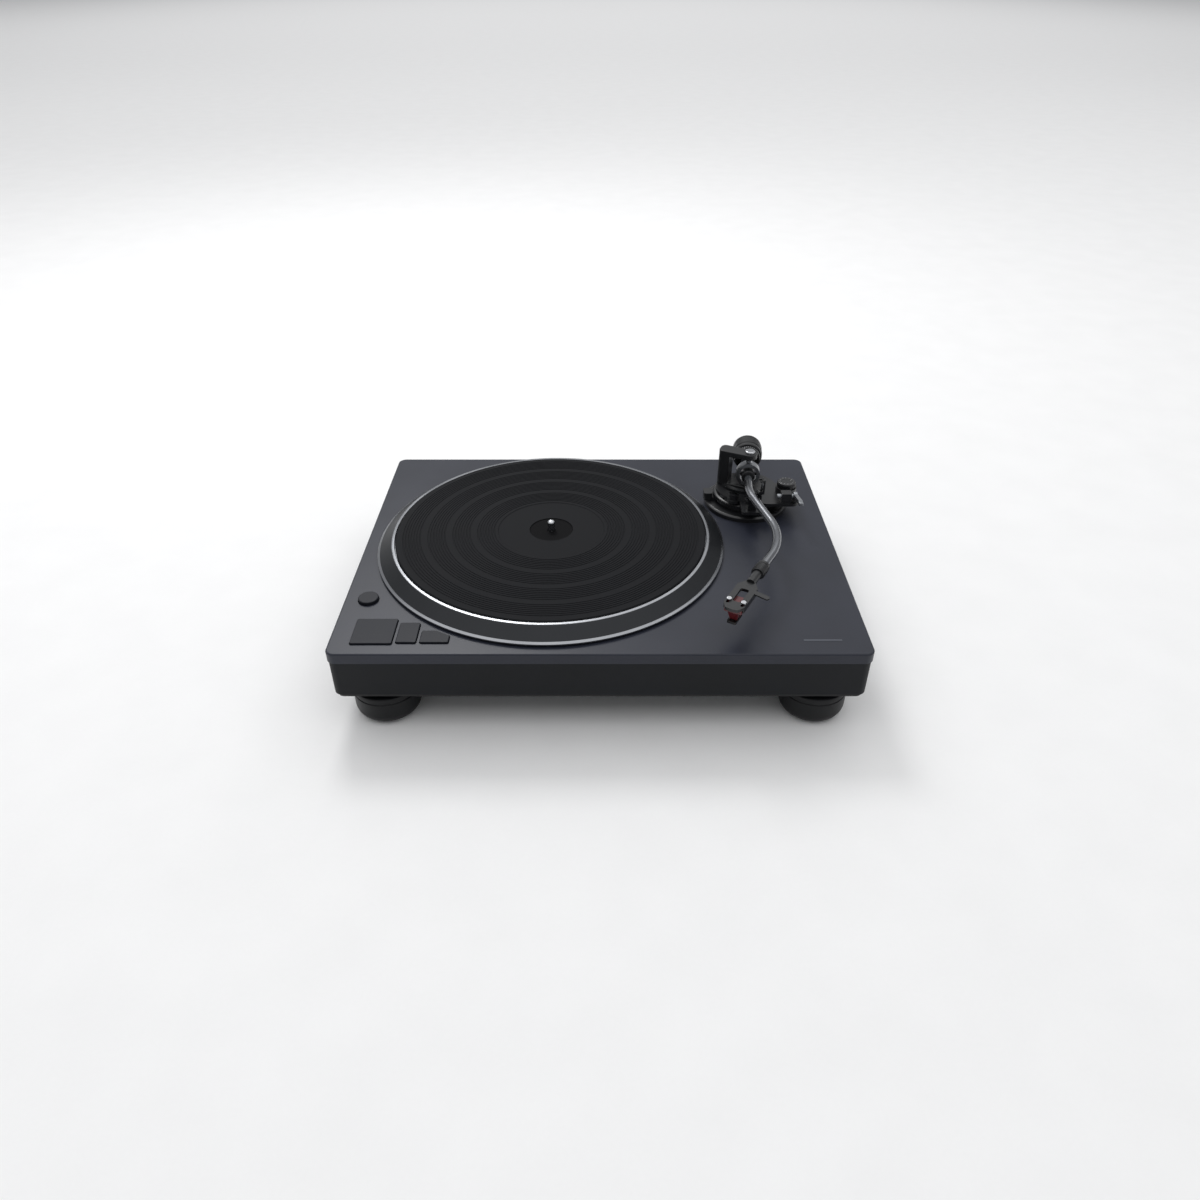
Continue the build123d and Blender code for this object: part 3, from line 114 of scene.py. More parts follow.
def surface(name, tint, shade, rough, metal=0.0, spread=0.08, grain=1.0, bump=0.02, stretch=(1, 1, 1),
            centre=(0, 0, 0), coat=0.0, ior=1.5, gloss=0.5, patch=60.0):
    """A finish made from a fine grain and a broad patchiness.

    tint and shade are the two colours it varies between, grain is the grain's size in mm, patch the
    size in mm of the broad variation, bump the height in mm that the light sees, and gloss the share of
    the usual surface reflection, which an open grain scatters away.
    """
    made = bpy.data.materials.new(name)
    made.use_nodes = True
    tree = made.node_tree
    shader = tree.nodes["Principled BSDF"]
    shader.inputs["Metallic"].default_value = metal
    shader.inputs["IOR"].default_value = ior
    shader.inputs["Specular IOR Level"].default_value = gloss
    shader.inputs["Coat Weight"].default_value = coat
    shader.inputs["Coat Roughness"].default_value = CLEAR_COAT_ROUGHNESS
    place = add(tree, "ShaderNodeTexCoord").outputs["Object"]
    moved = {"Location": tuple(-c for c in centre)}
    place = add(tree, "ShaderNodeMapping", moved, {"Vector": place}).outputs[0]
    placed = add(tree, "ShaderNodeMapping", {"Scale": stretch}, {"Vector": place}).outputs[0]
    fine = add(tree, "ShaderNodeTexNoise", {"Scale": 1 / (grain * MM), "Detail": 3.0}, {"Vector": placed})
    broad = add(tree, "ShaderNodeTexNoise", {"Scale": 1 / (patch * MM), "Detail": 4.0}, {"Vector": place})
    mixed = add(tree, "ShaderNodeMath", {"operation": "MULTIPLY_ADD", 1: 0.35},
                {0: fine.outputs[0], 2: broad.outputs[0]})
    ramp = add(tree, "ShaderNodeMapRange", {"From Min": 0.45, "From Max": 0.9}, {"Value": mixed.outputs[0]})
    colour = add(tree, "ShaderNodeMix", {"data_type": "RGBA", 6: linear(shade), 7: linear(tint)},
                 {"Factor": ramp.outputs[0]})
    tree.links.new(colour.outputs[2], shader.inputs["Base Color"])
    wear = add(tree, "ShaderNodeMapRange", {"To Min": rough - spread, "To Max": rough + spread},
               {"Value": mixed.outputs[0]})
    tree.links.new(wear.outputs[0], shader.inputs["Roughness"])
    relief = add(tree, "ShaderNodeBump", {"Strength": 0.6, "Distance": bump * MM},
                 {"Height": fine.outputs[0]})
    tree.links.new(relief.outputs[0], shader.inputs["Normal"])
    return made


def turned(name, tint, shade, rough, pitch, centre, metal=1.0, bump=0.01):
    """A finish left by a lathe: fine rings round a centre, pitch mm apart."""
    made = surface(name, tint, shade, rough, metal=metal, grain=0.8, bump=bump, centre=centre)
    tree = made.node_tree
    shader = tree.nodes["Principled BSDF"]
    place = add(tree, "ShaderNodeTexCoord").outputs["Object"]
    moved = {"Location": tuple(-c for c in centre)}
    place = add(tree, "ShaderNodeMapping", moved, {"Vector": place}).outputs[0]
    rings = add(tree, "ShaderNodeTexWave",
                {"wave_type": "RINGS", "rings_direction": "Z", "Scale": 1 / (pitch * MM) / 20, "Detail": 2.0,
                 "Distortion": 0.6}, {"Vector": place})
    relief = add(tree, "ShaderNodeBump", {"Strength": 0.35, "Distance": bump * MM},
                 {"Height": rings.outputs[1]})
    tree.links.new(relief.outputs[0], shader.inputs["Normal"])
    return made


# Stove enamel on the cast top: slate blue-grey with a faint orange peel, so the deck reads as one broad soft
# sheen that falls off towards its edges. The peel is about 1.6 mm across.
ENAMEL = surface("satin_stove_enamel", "292c37", "22252f", 0.36, grain=1.6, bump=0.012, spread=0.05,
                 gloss=0.36)
# Moulded cabinet in ABS from a spark-eroded tool: a flat, near-black wall that takes no clear highlight.
CABINET_ABS = surface("spark_textured_abs", "17191d", "101215", 0.52, grain=0.9, bump=0.03, gloss=0.24)
# Powder coat on the pressed bottom: a dry, slightly pebbled black. Its grain is drawn at 0.7 mm, coarser than
# the real 0.3 mm.
POWDER = surface("black_powder_coat", "18191b", "121314", 0.6, grain=0.7, bump=0.03)
# Foot cups moulded in ABS and wiped smooth: a soft rim of light round each turned edge.
FOOT_ABS = surface("moulded_foot_abs", "121316", "0c0d0f", 0.42, grain=0.8, bump=0.012, gloss=0.3)
# Moulded rubber pad under each foot: dull, dusty black with no highlight.
FOOT_RUBBER = surface("foot_pad_rubber", "161616", "101010", 0.8, grain=0.5, bump=0.03)
# Compression-moulded nitrile mat: matt charcoal that only its ribs break up.
MAT_RUBBER = surface("moulded_mat_rubber", "17181b", "101114", 0.64, grain=0.7, bump=0.02, gloss=0.12)
# The mat's middle, a shallow recess round the spindle: blacker and flatter than the ribs, so the spindle
# stands out against it.
HUB_RUBBER = surface("smooth_hub_rubber", "0b0b0d", "070708", 0.6, grain=0.7, bump=0.006, gloss=0.06)
# Button caps moulded in ABS with a satin tool: the deck's colour, a touch darker, so only their gaps draw
# them.
BUTTON_ABS = surface("satin_button_abs", "1f2128", "181a20", 0.42, grain=1.2, bump=0.008, gloss=0.2)
# Platter slope, turned and dyed black: graphite with fine lathe rings. The rings are drawn 0.5 mm apart,
# coarser than the real cut, so that they show.
DARK_ANODISED = turned("dark_anodised_aluminium", "26282c", "1f2124", 0.36, 0.5, PLATTER_AXIS, metal=0.5)
# Diamond-cut lip and rim: the two thin bright circles that outline the platter.
BRIGHT_CUT = turned("diamond_cut_aluminium", "a9abaf", "8f9195", 0.26, 0.35, PLATTER_AXIS)
# Bead-blasted and anodised arm parts: they glow softly and show no mirror image.
SATIN_ALLOY = surface("satin_anodised_aluminium", "a4a7ab", "929599", 0.32, metal=1.0, grain=0.4, bump=0.004)
# Brushed and tinted strip let into the deck: a faint grey line, only a little brighter than the enamel.
STRIP_ALLOY = surface("brushed_strip_aluminium", "63666d", "565960", 0.42, metal=0.8, grain=0.6, bump=0.006,
                      stretch=(0.05, 1, 1))
# Drawn tube, polished and clear anodised: a narrow highlight runs along its length.
DRAWN_ALLOY = surface("polished_drawn_aluminium", "8f9195", "7b7d81", 0.22, metal=1.0, grain=0.5, bump=0.003)
# Satin lacquer over cast arm parts: black with a thin clear sheen that picks out every edge.
ARM_BLACK = surface("satin_black_lacquer", "1a1b1e", "121315", 0.36, grain=0.8, bump=0.006, coat=0.15)
# Polished ABS mouldings, such as the arm rest and the terminal tray: deep black with small sharp glints.
GLOSS_BLACK = surface("gloss_black_abs", "111214", "0c0d0e", 0.22, grain=1.5, bump=0.003)
# Cartridge body moulded in tinted polystyrene: a dark, slightly glossy red.
CART_RED = surface("red_polystyrene", "651c21", "4a1418", 0.28, grain=1.0, bump=0.004, coat=0.2)
# Thin gold plating on the jacks: warm, clean metal with a soft mirror.
GOLD = surface("gold_flash_plating", "c9a24c", "b08a3a", 0.22, metal=1.0, grain=1.0, bump=0.004)
# Bright zinc on pressed steel: cool grey with a cloudy spangle about 2.5 mm across.
ZINC = surface("zinc_plated_steel", "9fa2a6", "85888d", 0.36, metal=1.0, grain=2.5, bump=0.006)
# Ground and polished steel of the spindle and screws: the brightest points on the player.
GROUND_STEEL = surface("ground_steel", "d2d4d7", "bdbfc3", 0.16, metal=1.0, grain=0.5, bump=0.003)
# Sintered bronze bushes: dull golden brown with open pores, drawn coarser than the real 0.05 mm.
BRONZE = surface("sintered_bronze", "a87b45", "8d6535", 0.45, metal=1.0, grain=0.4, bump=0.02)
# Enamelled copper windings: a warm brown metal, rippled by wire about 0.5 mm thick.
COPPER = surface("enamelled_copper", "b4693c", "98542c", 0.32, metal=1.0, grain=0.5, bump=0.03)
# Glass-epoxy boards under solder mask: flat, slightly glossy green.
BOARD = surface("solder_masked_board", "1c4a31", "163b27", 0.35, grain=2.0, bump=0.004)
# Undyed moulded nylon: waxy off-white.
NYLON = surface("natural_nylon", "d9d5c6", "cbc6b5", 0.5, grain=1.0, bump=0.01)
# Pressed and fired ferrite magnet: dull charcoal, like slate.
FERRITE = surface("sintered_ferrite", "2a2a2c", "222224", 0.6, grain=0.4, bump=0.02)
# White ink marks printed on the scales: flat pale lines that catch no light.
PAD_PRINT = surface("white_pad_print", "a8aaad", "9a9c9f", 0.55, grain=0.8, bump=0.002)


# ------------------------------------------------------------------ mesh helpers
def as_object(name, mesh):
    """Links a mesh into the scene under that name."""
    made = bpy.data.objects.new(name, mesh)
    bpy.context.scene.collection.objects.link(made)
    return made


def smooth(mesh):
    """Smooth shading, kept sharp where faces meet at more than SHARP_ANGLE."""
    for face in mesh.polygons:
        face.use_smooth = True
    mesh.set_sharp_from_angle(angle=radians(SHARP_ANGLE))


def mount(piece, body, replaced=(), bevel=0.0):
    """Gives a piece its edge rounding and its body, and hides the nodes it stands for."""
    smooth(piece.data)
    if bevel:
        rounding = piece.modifiers.new("edge_rounding", "BEVEL")
        rounding.width = bevel * MM
        rounding.segments = 2
        rounding.limit_method = "ANGLE"
        rounding.angle_limit = radians(ROUNDED_ANGLE)
    level = piece.modifiers.new("flat_faces_stay_flat", "WEIGHTED_NORMAL")
    level.keep_sharp = True
    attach(piece, body)
    if replaced:
        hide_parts(*replaced)
    return piece


def lathe(name, rows, place=Matrix.Identity(4), steps=96, closed=True):
    """A turned piece.

    rows are (radius, height, material) in mm, and a row's material covers the band up to the next row.
    """
    bm = bmesh.new()
    rings = []
    for radius, height, _ in rows:
        if radius == 0:
            rings.append([bm.verts.new((0, 0, height * MM))])
            continue
        turns = [2 * pi * n / steps for n in range(steps)]
        rings.append([bm.verts.new((radius * MM * cos(turn), radius * MM * sin(turn), height * MM))
                      for turn in turns])
    finishes = []
    for row in rows:
        if row[2] not in finishes:
            finishes.append(row[2])
    pairs = list(zip(rings, rings[1:] + ([rings[0]] if closed else []), rows))
    for lower, upper, row in pairs:
        for n in range(steps):
            m = (n + 1) % steps
            corners = [lower[n % len(lower)], lower[m % len(lower)]]
            corners += [upper[m % len(upper)], upper[n % len(upper)]]
            corners = list(dict.fromkeys(corners))
            if len(corners) > 2:
                bm.faces.new(corners).material_index = finishes.index(row[2])
    bmesh.ops.recalc_face_normals(bm, faces=bm.faces)
    mesh = bpy.data.meshes.new(name)
    bm.to_mesh(mesh)
    bm.free()
    mesh.transform(place)
    for finish in finishes:
        mesh.materials.append(finish)
    return as_object(name, mesh)


def refined(name, node, finish):
    """A piece made from a CAD node's own shape, with its triangles merged back into whole faces."""
    bm = bmesh.new()
    bm.from_mesh(frame["nodes"][node].data)
    bmesh.ops.remove_doubles(bm, verts=bm.verts, dist=0.002 * MM)
    bmesh.ops.dissolve_limit(bm, angle_limit=radians(1.0), verts=bm.verts, edges=bm.edges)
    mesh = bpy.data.meshes.new(name)
    bm.to_mesh(mesh)
    bm.free()
    mesh.materials.append(finish)
    return as_object(name, mesh)


# ------------------------------------------------------------------ ribs, teeth and marks round a rim
def rim_tree():
    """Geometry Nodes tree: small blocks spread evenly round a circle, facing outwards."""
    tree = bpy.data.node_groups.new("blocks_round_a_rim", "GeometryNodeTree")
    face = tree.interface
    face.new_socket("Geometry", in_out="OUTPUT", socket_type="NodeSocketGeometry")
    for label, kind, value in (("Count", "NodeSocketInt", 24), ("Radius", "NodeSocketFloat", 0.01),
                               ("Block", "NodeSocketVector", (0.001, 0.001, 0.001)),
                               ("Finish", "NodeSocketMaterial", None)):
        socket = face.new_socket(label, in_out="INPUT", socket_type=kind)
        if value is not None:
            socket.default_value = value
    given = add(tree, "NodeGroupInput").outputs
    rim = add(tree, "GeometryNodeMeshCircle", {"fill_type": "NONE"},
              {"Vertices": given["Count"], "Radius": given["Radius"]})
    block = add(tree, "GeometryNodeMeshCube", {}, {"Size": given["Block"]})
    outward = add(tree, "GeometryNodeInputPosition")
    facing = add(tree, "FunctionNodeAlignRotationToVector", {"axis": "X", "pivot_axis": "Z"},
                 {"Vector": outward.outputs[0]})
    spread = add(tree, "GeometryNodeInstanceOnPoints", {},
                 {"Points": rim.outputs["Mesh"], "Instance": block.outputs["Mesh"],
                  "Rotation": facing.outputs[0]})
    real = add(tree, "GeometryNodeRealizeInstances", {}, {"Geometry": spread.outputs[0]})
    dressed = add(tree, "GeometryNodeSetMaterial", {},
                  {"Geometry": real.outputs[0], "Material": given["Finish"]})
    add(tree, "NodeGroupOutput", {}, {"Geometry": dressed.outputs[0]})
    return tree


RIM_TREE = rim_tree()


def copies_tree():
    """Geometry Nodes tree: one copy of a shape at every point given."""
    tree = bpy.data.node_groups.new("copies_on_points", "GeometryNodeTree")
    face = tree.interface
    face.new_socket("Geometry", in_out="OUTPUT", socket_type="NodeSocketGeometry")
    for label, kind in (("Points", "NodeSocketGeometry"), ("Shape", "NodeSocketObject"),
                        ("Finish", "NodeSocketMaterial")):
        face.new_socket(label, in_out="INPUT", socket_type=kind)
    given = add(tree, "NodeGroupInput").outputs
    shape = add(tree, "GeometryNodeObjectInfo", {}, {"Object": given["Shape"]})
    spread = add(tree, "GeometryNodeInstanceOnPoints", {},
                 {"Points": given["Points"], "Instance": shape.outputs["Geometry"]})
    real = add(tree, "GeometryNodeRealizeInstances", {}, {"Geometry": spread.outputs[0]})
    dressed = add(tree, "GeometryNodeSetMaterial", {},
                  {"Geometry": real.outputs[0], "Material": given["Finish"]})
    add(tree, "NodeGroupOutput", {}, {"Geometry": dressed.outputs[0]})
    return tree


COPIES_TREE = copies_tree()


def grown(name, tree, mesh, values, finish, place=Matrix.Identity(4)):
    """The mesh that a tree makes from a starting mesh and its named values."""
    holder = as_object(name + "_seed", mesh)
    work = holder.modifiers.new("growth", "NODES")
    work.node_group = tree
    keys = {s.name: s.identifier for s in tree.interface.items_tree if s.in_out == "INPUT"}
    for label, value in {**values, "Finish": finish}.items():
        work[keys[label]] = value
    made = bpy.data.meshes.new_from_object(holder.evaluated_get(bpy.context.evaluated_depsgraph_get()))
    bpy.data.objects.remove(holder)
    made.transform(place)
    made.materials.clear()
    made.materials.append(finish)
    return as_object(name, made)


def copies(name, shape, spots, finish):
    """Copies of a shape at the spots, as one piece; the shape itself is used up."""
    seeds = bpy.data.meshes.new(name + "_spots")
    seeds.from_pydata(spots, [], [])
    made = grown(name, COPIES_TREE, seeds, {"Shape": shape}, finish)
    bpy.data.objects.remove(shape)
    return made


def rim_blocks(name, count, radius, block, finish, place):
    """count blocks of size block (out, along, up, in mm) round a circle of that radius in mm."""
    values = {"Count": count, "Radius": radius * MM, "Block": [size * MM for size in block]}
    return grown(name, RIM_TREE, bpy.data.meshes.new(name), values, finish, place)


# ------------------------------------------------------------------ plinth
mount(refined("chassis_casting", "chassis", ENAMEL), "plinth", ["chassis"])
mount(refined("cabinet_moulding", "cabinet", CABINET_ABS), "plinth", ["cabinet"], 0.6)
mount(refined("bottom_plate", "bottom_cover", POWDER), "plinth", ["bottom_cover"], 0.3)
mount(refined("blank_trim_strip", "trim_strip", STRIP_ALLOY), "plinth", ["trim_strip"], 0.08)

SCREW_REACH = 12.0                       # points nearer than this belong to the same screw
SCREW_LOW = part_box("case_screws")[0].z / MM
HEAD_ROWS = [(0, 1.3), (0.8, 1.2), (0.9, 0.2), (2.4, 0.0), (3.3, 0.5), (3.5, 1.2), (3.5, 2.4), (0, 2.4)]


def screw_spots():
    """Middles of the case screws' heads, found from the frame's own mesh, in metres."""
    found = []
    for vertex in frame["nodes"]["case_screws"].data.vertices:
        here = Vector((vertex.co.x, vertex.co.y, 0))
        near = [group for group in found if (group[0] - here).length < SCREW_REACH * MM]
        if near:
            near[0].append(here)
        else:
            found.append([here])
    middles = []
    for group in found:
        low = [min(v[n] for v in group) for n in (0, 1)]
        high = [max(v[n] for v in group) for n in (0, 1)]
        middles.append(Vector(((low[0] + high[0]) / 2, (low[1] + high[1]) / 2, 0)))
    return middles


SCREW_HEAD = lathe("screw_head", [(r, SCREW_LOW + z, ZINC) for r, z in HEAD_ROWS], steps=24, closed=False)
mount(copies("case_screw_heads", SCREW_HEAD, screw_spots(), ZINC), "plinth", ["case_screws"])

# ------------------------------------------------------------------ feet
FOOT_ROWS = [
    (0, 0.8, "pad"), (16, 0.8, "pad"), (17, 0.0, "pad"), (19.5, 0.0, "pad"), (21, 1.0, "cup"),
    (24, 2.2, "cup"), (26.6, 4.6, "cup"), (28.3, 7.6, "cup"), (29, 11, "cup"), (29, 24, "cup"),
    (28.2, 24.4, "cup"), (28.2, 25.4, "cup"), (29, 25.8, "cup"), (29, 28.4, "cup"), (28.4, 30, "cup"),
    (26.6, 31, "cup"),
    (12, 31, "cup"), (12, 33.4, "stud"), (4, 33.5, "stud"), (4, 50, "stud"), (0, 50, "stud"),
]
FOOT_FINISH = {"pad": FOOT_RUBBER, "cup": FOOT_ABS, "stud": ZINC}
for foot in [n for n in frame["nodes"] if n.startswith("foot_")]:
    low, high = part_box(foot)
    middle = Vector(((low.x + high.x) / 2, (low.y + high.y) / 2, 0))
    rows = [(r, z, FOOT_FINISH[part]) for r, z, part in FOOT_ROWS]
    cup = lathe(foot.replace("foot_", "cup_"), rows, Matrix.Translation(middle), 72, False)
    mount(cup, foot, [foot], 0.25)

# ------------------------------------------------------------------ platter, mat and spindle
RIM_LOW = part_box("platter")[0].z / MM
LIP_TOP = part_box("platter")[1].z / MM
RIM_R = (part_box("platter")[1].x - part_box("platter")[0].x) / 2 / MM
MAT_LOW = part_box("mat")[0].z / MM
MAT_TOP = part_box("mat")[1].z / MM
PLATTER_ROWS = [
    (4.3, MAT_LOW, BRIGHT_CUT), (148.9, MAT_LOW, BRIGHT_CUT), (149.1, LIP_TOP - 0.3, BRIGHT_CUT),
    (149.4, LIP_TOP, BRIGHT_CUT), (151.4, LIP_TOP, BRIGHT_CUT), (151.9, LIP_TOP - 0.3, DARK_ANODISED),
    (RIM_R - 2.2, 87.2, BRIGHT_CUT), (RIM_R - 0.5, 86.5, BRIGHT_CUT), (RIM_R, 86.0, BRIGHT_CUT),
    (RIM_R, RIM_LOW + 0.7, DARK_ANODISED), (RIM_R - 0.4, RIM_LOW, DARK_ANODISED),
    (RIM_R - 6, RIM_LOW, DARK_ANODISED), (RIM_R - 20, 90, DARK_ANODISED), (60, 90, DARK_ANODISED),
    (60, 85.2, DARK_ANODISED), (40, 85.2, DARK_ANODISED), (40, 90, DARK_ANODISED), (16, 90, DARK_ANODISED),
    (12, 84.1, DARK_ANODISED), (4.3, 84.1, DARK_ANODISED),
]
mount(lathe("platter_turned", PLATTER_ROWS, SPIN_SEAT, 240), "platter", ["platter"])

RIB_PITCH = 2.6
RIB_DEPTH = 0.45
RIB_BANDS = ((54, 74), (77.5, 97.5), (101, 121), (124.5, 144.5))


def mat_rows():
    """The mat's section: bands of fine ribs with plain lands between them."""
    rows = [(20.9, MAT_TOP - 0.5), (50.6, MAT_TOP - 0.5), (51.4, MAT_TOP)]
    for start, end in RIB_BANDS:
        for n in range(int((end - start) / RIB_PITCH)):
            r = start + n * RIB_PITCH
            rows += [(r, MAT_TOP), (r + 0.35, MAT_TOP - RIB_DEPTH), (r + 1.25, MAT_TOP - RIB_DEPTH),
                     (r + 1.6, MAT_TOP)]
    rows += [(147.4, MAT_TOP), (148.4, MAT_TOP - 0.9), (148.4, MAT_LOW)]
    hub = [(4.2, MAT_LOW), (4.2, MAT_TOP - 1.2), (20.2, MAT_TOP - 1.2)]
    return [(r, z, HUB_RUBBER) for r, z in hub] + [(r, z, MAT_RUBBER) for r, z in rows]


mount(lathe("mat_moulded", mat_rows(), SPIN_SEAT, 200), "platter", ["mat"])

SPINDLE_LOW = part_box("spindle")[0].z / MM
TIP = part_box("spindle")[1].z / MM
SPINDLE_ROWS = [(0, SPINDLE_LOW), (3.6, SPINDLE_LOW), (4, SPINDLE_LOW + 0.4), (4, 81.5), (12, 81.5),
                (12, 84.1), (4.3, 84.1), (4.3, MAT_LOW), (3.9, MAT_LOW), (3.9, MAT_TOP - 0.6), (3.6, MAT_TOP),
                (3.6, TIP - 2.4), (3.2, TIP - 1.5), (2.4, TIP - 0.7), (1.3, TIP - 0.2), (0, TIP)]
mount(lathe("spindle_ground", [(r, z, GROUND_STEEL) for r, z in SPINDLE_ROWS], SPIN_SEAT, 48, False),
      "platter", ["spindle"])

# ------------------------------------------------------------------ buttons
for button in ("start_stop_button", "speed_33_button", "speed_45_button", "power_button"):
    mount(refined(button.replace("button", "cap"), button, BUTTON_ABS), button, [button], 0.2)

# ------------------------------------------------------------------ tonearm base
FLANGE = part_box("arm_base")[1].z / MM
DECK = DECK_TOP / MM
BASE_ROWS = [(20.06, 62), (24.1, 62), (24.1, DECK), (42, DECK), (42, FLANGE - 1.6), (41.6, FLANGE - 1.0),
             (40.4, FLANGE - 0.2), (39.8, FLANGE), (20.06, FLANGE)]
mount(lathe("arm_base_flange", [(r, z, ARM_BLACK) for r, z in BASE_ROWS], PIVOT_SEAT, 120),
      "plinth", ["arm_base"])

RING_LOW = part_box("height_ring")[0].z / MM
RING_ROWS = [(20.4, 0), (33, 0), (33.3, 0.3), (33.3, 3.6), (32.4, 4.4), (28, 6), (20.4, 6)]
RING_SEAT = PIVOT_SEAT @ Matrix.Translation((0, 0, RING_LOW * MM))
mount(lathe("height_ring_body", [(r, z, ARM_BLACK) for r, z in RING_ROWS], RING_SEAT, 120),
      "height_ring", ["height_ring"], 0.1)
RING_GRIP = RING_SEAT @ Matrix.Translation((0, 0, 1.9 * MM))
mount(rim_blocks("height_ring_grip", 72, 33.3, (1.2, 1.5, 3.2), ARM_BLACK, RING_GRIP),
      "height_ring")
RING_MARKS = RING_SEAT @ Matrix.Translation((0, 0, 5.36 * MM))
mount(rim_blocks("height_ring_marks", 36, 29.8, (1.6, 0.35, 0.5), PAD_PRINT, RING_MARKS),
      "height_ring")

for name, node, body, finish, slot, bevel in (
    ("lock_lever_ring", "lock_lever", "lock_lever", ARM_BLACK, "arm_black", 0.35),
    ("arm_platform", "arm_column", "arm_column", ARM_BLACK, "arm_black", 0.35),
    ("gimbal_frame", "gimbal_bracket", "arm_column", ARM_BLACK, "arm_black", 0.5),
    ("rest_cradle", "arm_rest", "arm_column", GLOSS_BLACK, "plastic_black", 0.25),
    ("rest_clamp", "arm_clamp", "arm_clamp", GLOSS_BLACK, "plastic_black", 0.2),
    ("lift_rail", "lifter", "lifter", GLOSS_BLACK, "plastic_black", 0.3),
    ("cue_handle", "cue_lever", "cue_lever", SATIN_ALLOY, "arm_alloy", 0.4),
    ("arm_tube_bent", "arm_tube", "tonearm", DRAWN_ALLOY, "arm_alloy", 0),
    ("gimbal_hoop", "gimbal_ring", "gimbal_ring", SATIN_ALLOY, "arm_alloy", 0.3),
    ("tilt_block", "pivot_block", "tonearm", ARM_BLACK, "arm_alloy", 0.2),
    ("shell_frame", "headshell", "headshell", ARM_BLACK, "arm_black", 0.25),
    ("cartridge_body", "cartridge", "headshell", CART_RED, "cartridge_red", 0.2),
    ("stylus_holder", "stylus", "headshell", GLOSS_BLACK, "plastic_black", 0.1),
    ("sleeve_turned", "weight_sleeve", "weight_sleeve", SATIN_ALLOY, "arm_alloy", 0.2),
    ("pivot_cap", "pivot_screw", "arm_column", GROUND_STEEL, "steel_ground", 0.15),
    ("inlet_shell", "ac_inlet", "plinth", GLOSS_BLACK, "plastic_black", 0.3),
    ("terminal_tray", "terminal_panel", "plinth", GLOSS_BLACK, "plastic_black", 0.2),
    ("equaliser_slider", "equaliser_switch", "equaliser_switch", NYLON, "plastic_black", 0.2),
    ("earth_nut", "earth_knob", "earth_knob", GOLD, "jack_gold", 0.3),
    ("earth_stud", "earth_post", "plinth", ZINC, "steel_zinc", 0.1),
    ("jack_barrels", "phono_jacks", "plinth", GOLD, "jack_gold", 0.3),
    ("cartridge_bolts", "cartridge_screws", "headshell", GROUND_STEEL, "steel_ground", 0.3),
):
    mount(refined(name, node, finish), body, [node], bevel)

# Anti-skate dial
DIAL_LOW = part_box("anti_skate_dial")[0].z / MM
DIAL_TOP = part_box("anti_skate_dial")[1].z / MM
DIAL_SEAT = Matrix.Translation(Vector((spot("anti_skate_turn").x, spot("anti_skate_turn").y, 0)))
DIAL_ROWS = [(0, DIAL_LOW), (2.9, DIAL_LOW), (2.9, DIAL_TOP - 5.5), (8.9, DIAL_TOP - 5.5),
             (9.0, DIAL_TOP - 5.2), (9.0, DIAL_TOP - 1.4), (8.4, DIAL_TOP - 0.4), (7.6, DIAL_TOP),
             (5.2, DIAL_TOP), (4.8, DIAL_TOP - 0.4), (0, DIAL_TOP - 0.4)]
mount(lathe("anti_skate_cap", [(r, z, ARM_BLACK) for r, z in DIAL_ROWS], DIAL_SEAT, 64, False),
      "anti_skate_dial", ["anti_skate_dial"], 0.1)
mount(rim_blocks("anti_skate_grip", 40, 9.0, (0.8, 0.7, 3.6), ARM_BLACK,
                 DIAL_SEAT @ Matrix.Translation((0, 0, (DIAL_TOP - 3.2) * MM))), "anti_skate_dial")
mount(rim_blocks("anti_skate_marks", 12, 6.6, (1.4, 0.3, 0.2), PAD_PRINT,
                 DIAL_SEAT @ Matrix.Translation((0, 0, DIAL_TOP * MM))), "anti_skate_dial")

# ------------------------------------------------------------------ headshell nut
NUT_REAR = 66.0                          # the nut's rear face, behind the stylus
NUT_SEAT = seat(STYLUS - HEAD * (NUT_REAR * MM), HEAD)
NUT_ROWS = [(4.1, 0), (5.2, 0), (5.7, 0.5), (5.7, 3.2), (5.2, 3.6), (5.2, 4.2), (5.8, 4.6), (5.8, 14.2),
            (5.2, 15), (4.1, 15)]
mount(lathe("lock_nut_body", [(r, z, ARM_BLACK) for r, z in NUT_ROWS], NUT_SEAT, 64),
      "head_lock_nut", ["head_lock_nut"])
mount(rim_blocks("lock_nut_grip", 36, 5.75, (0.7, 0.45, 9.0), ARM_BLACK,
                 NUT_SEAT @ Matrix.Translation((0, 0, 9.4 * MM))), "head_lock_nut")

# ------------------------------------------------------------------ tail, counterweight and force dial
TAIL = -LEG
BLOCK_HALF = 9.0                         # half the length of the tilt block that the shaft grows from
SHAFT_L = 58.0
SHAFT_END = BLOCK_HALF + SHAFT_L
THREAD_FROM = 28.0
THREAD_PITCH = 1.5


def shaft_rows():
    """The tail shaft, with a fine thread where the weight travels."""
    rows = [(0, BLOCK_HALF), (4.4, BLOCK_HALF), (4.4, THREAD_FROM - 1)]
    for n in range(int((SHAFT_END - 3 - THREAD_FROM) / THREAD_PITCH)):
        root = THREAD_FROM + n * THREAD_PITCH
        rows += [(4.0, root), (4.35, root + THREAD_PITCH / 2)]
    rows += [(4.0, SHAFT_END - 1), (3.4, SHAFT_END), (0, SHAFT_END)]
    return [(r, z, SATIN_ALLOY) for r, z in rows]


TAIL_SEAT = seat(PIVOT, TAIL, UP)
mount(lathe("tail_shaft_threaded", shaft_rows(), TAIL_SEAT, 40, False),
      "tonearm", ["tail_shaft"])

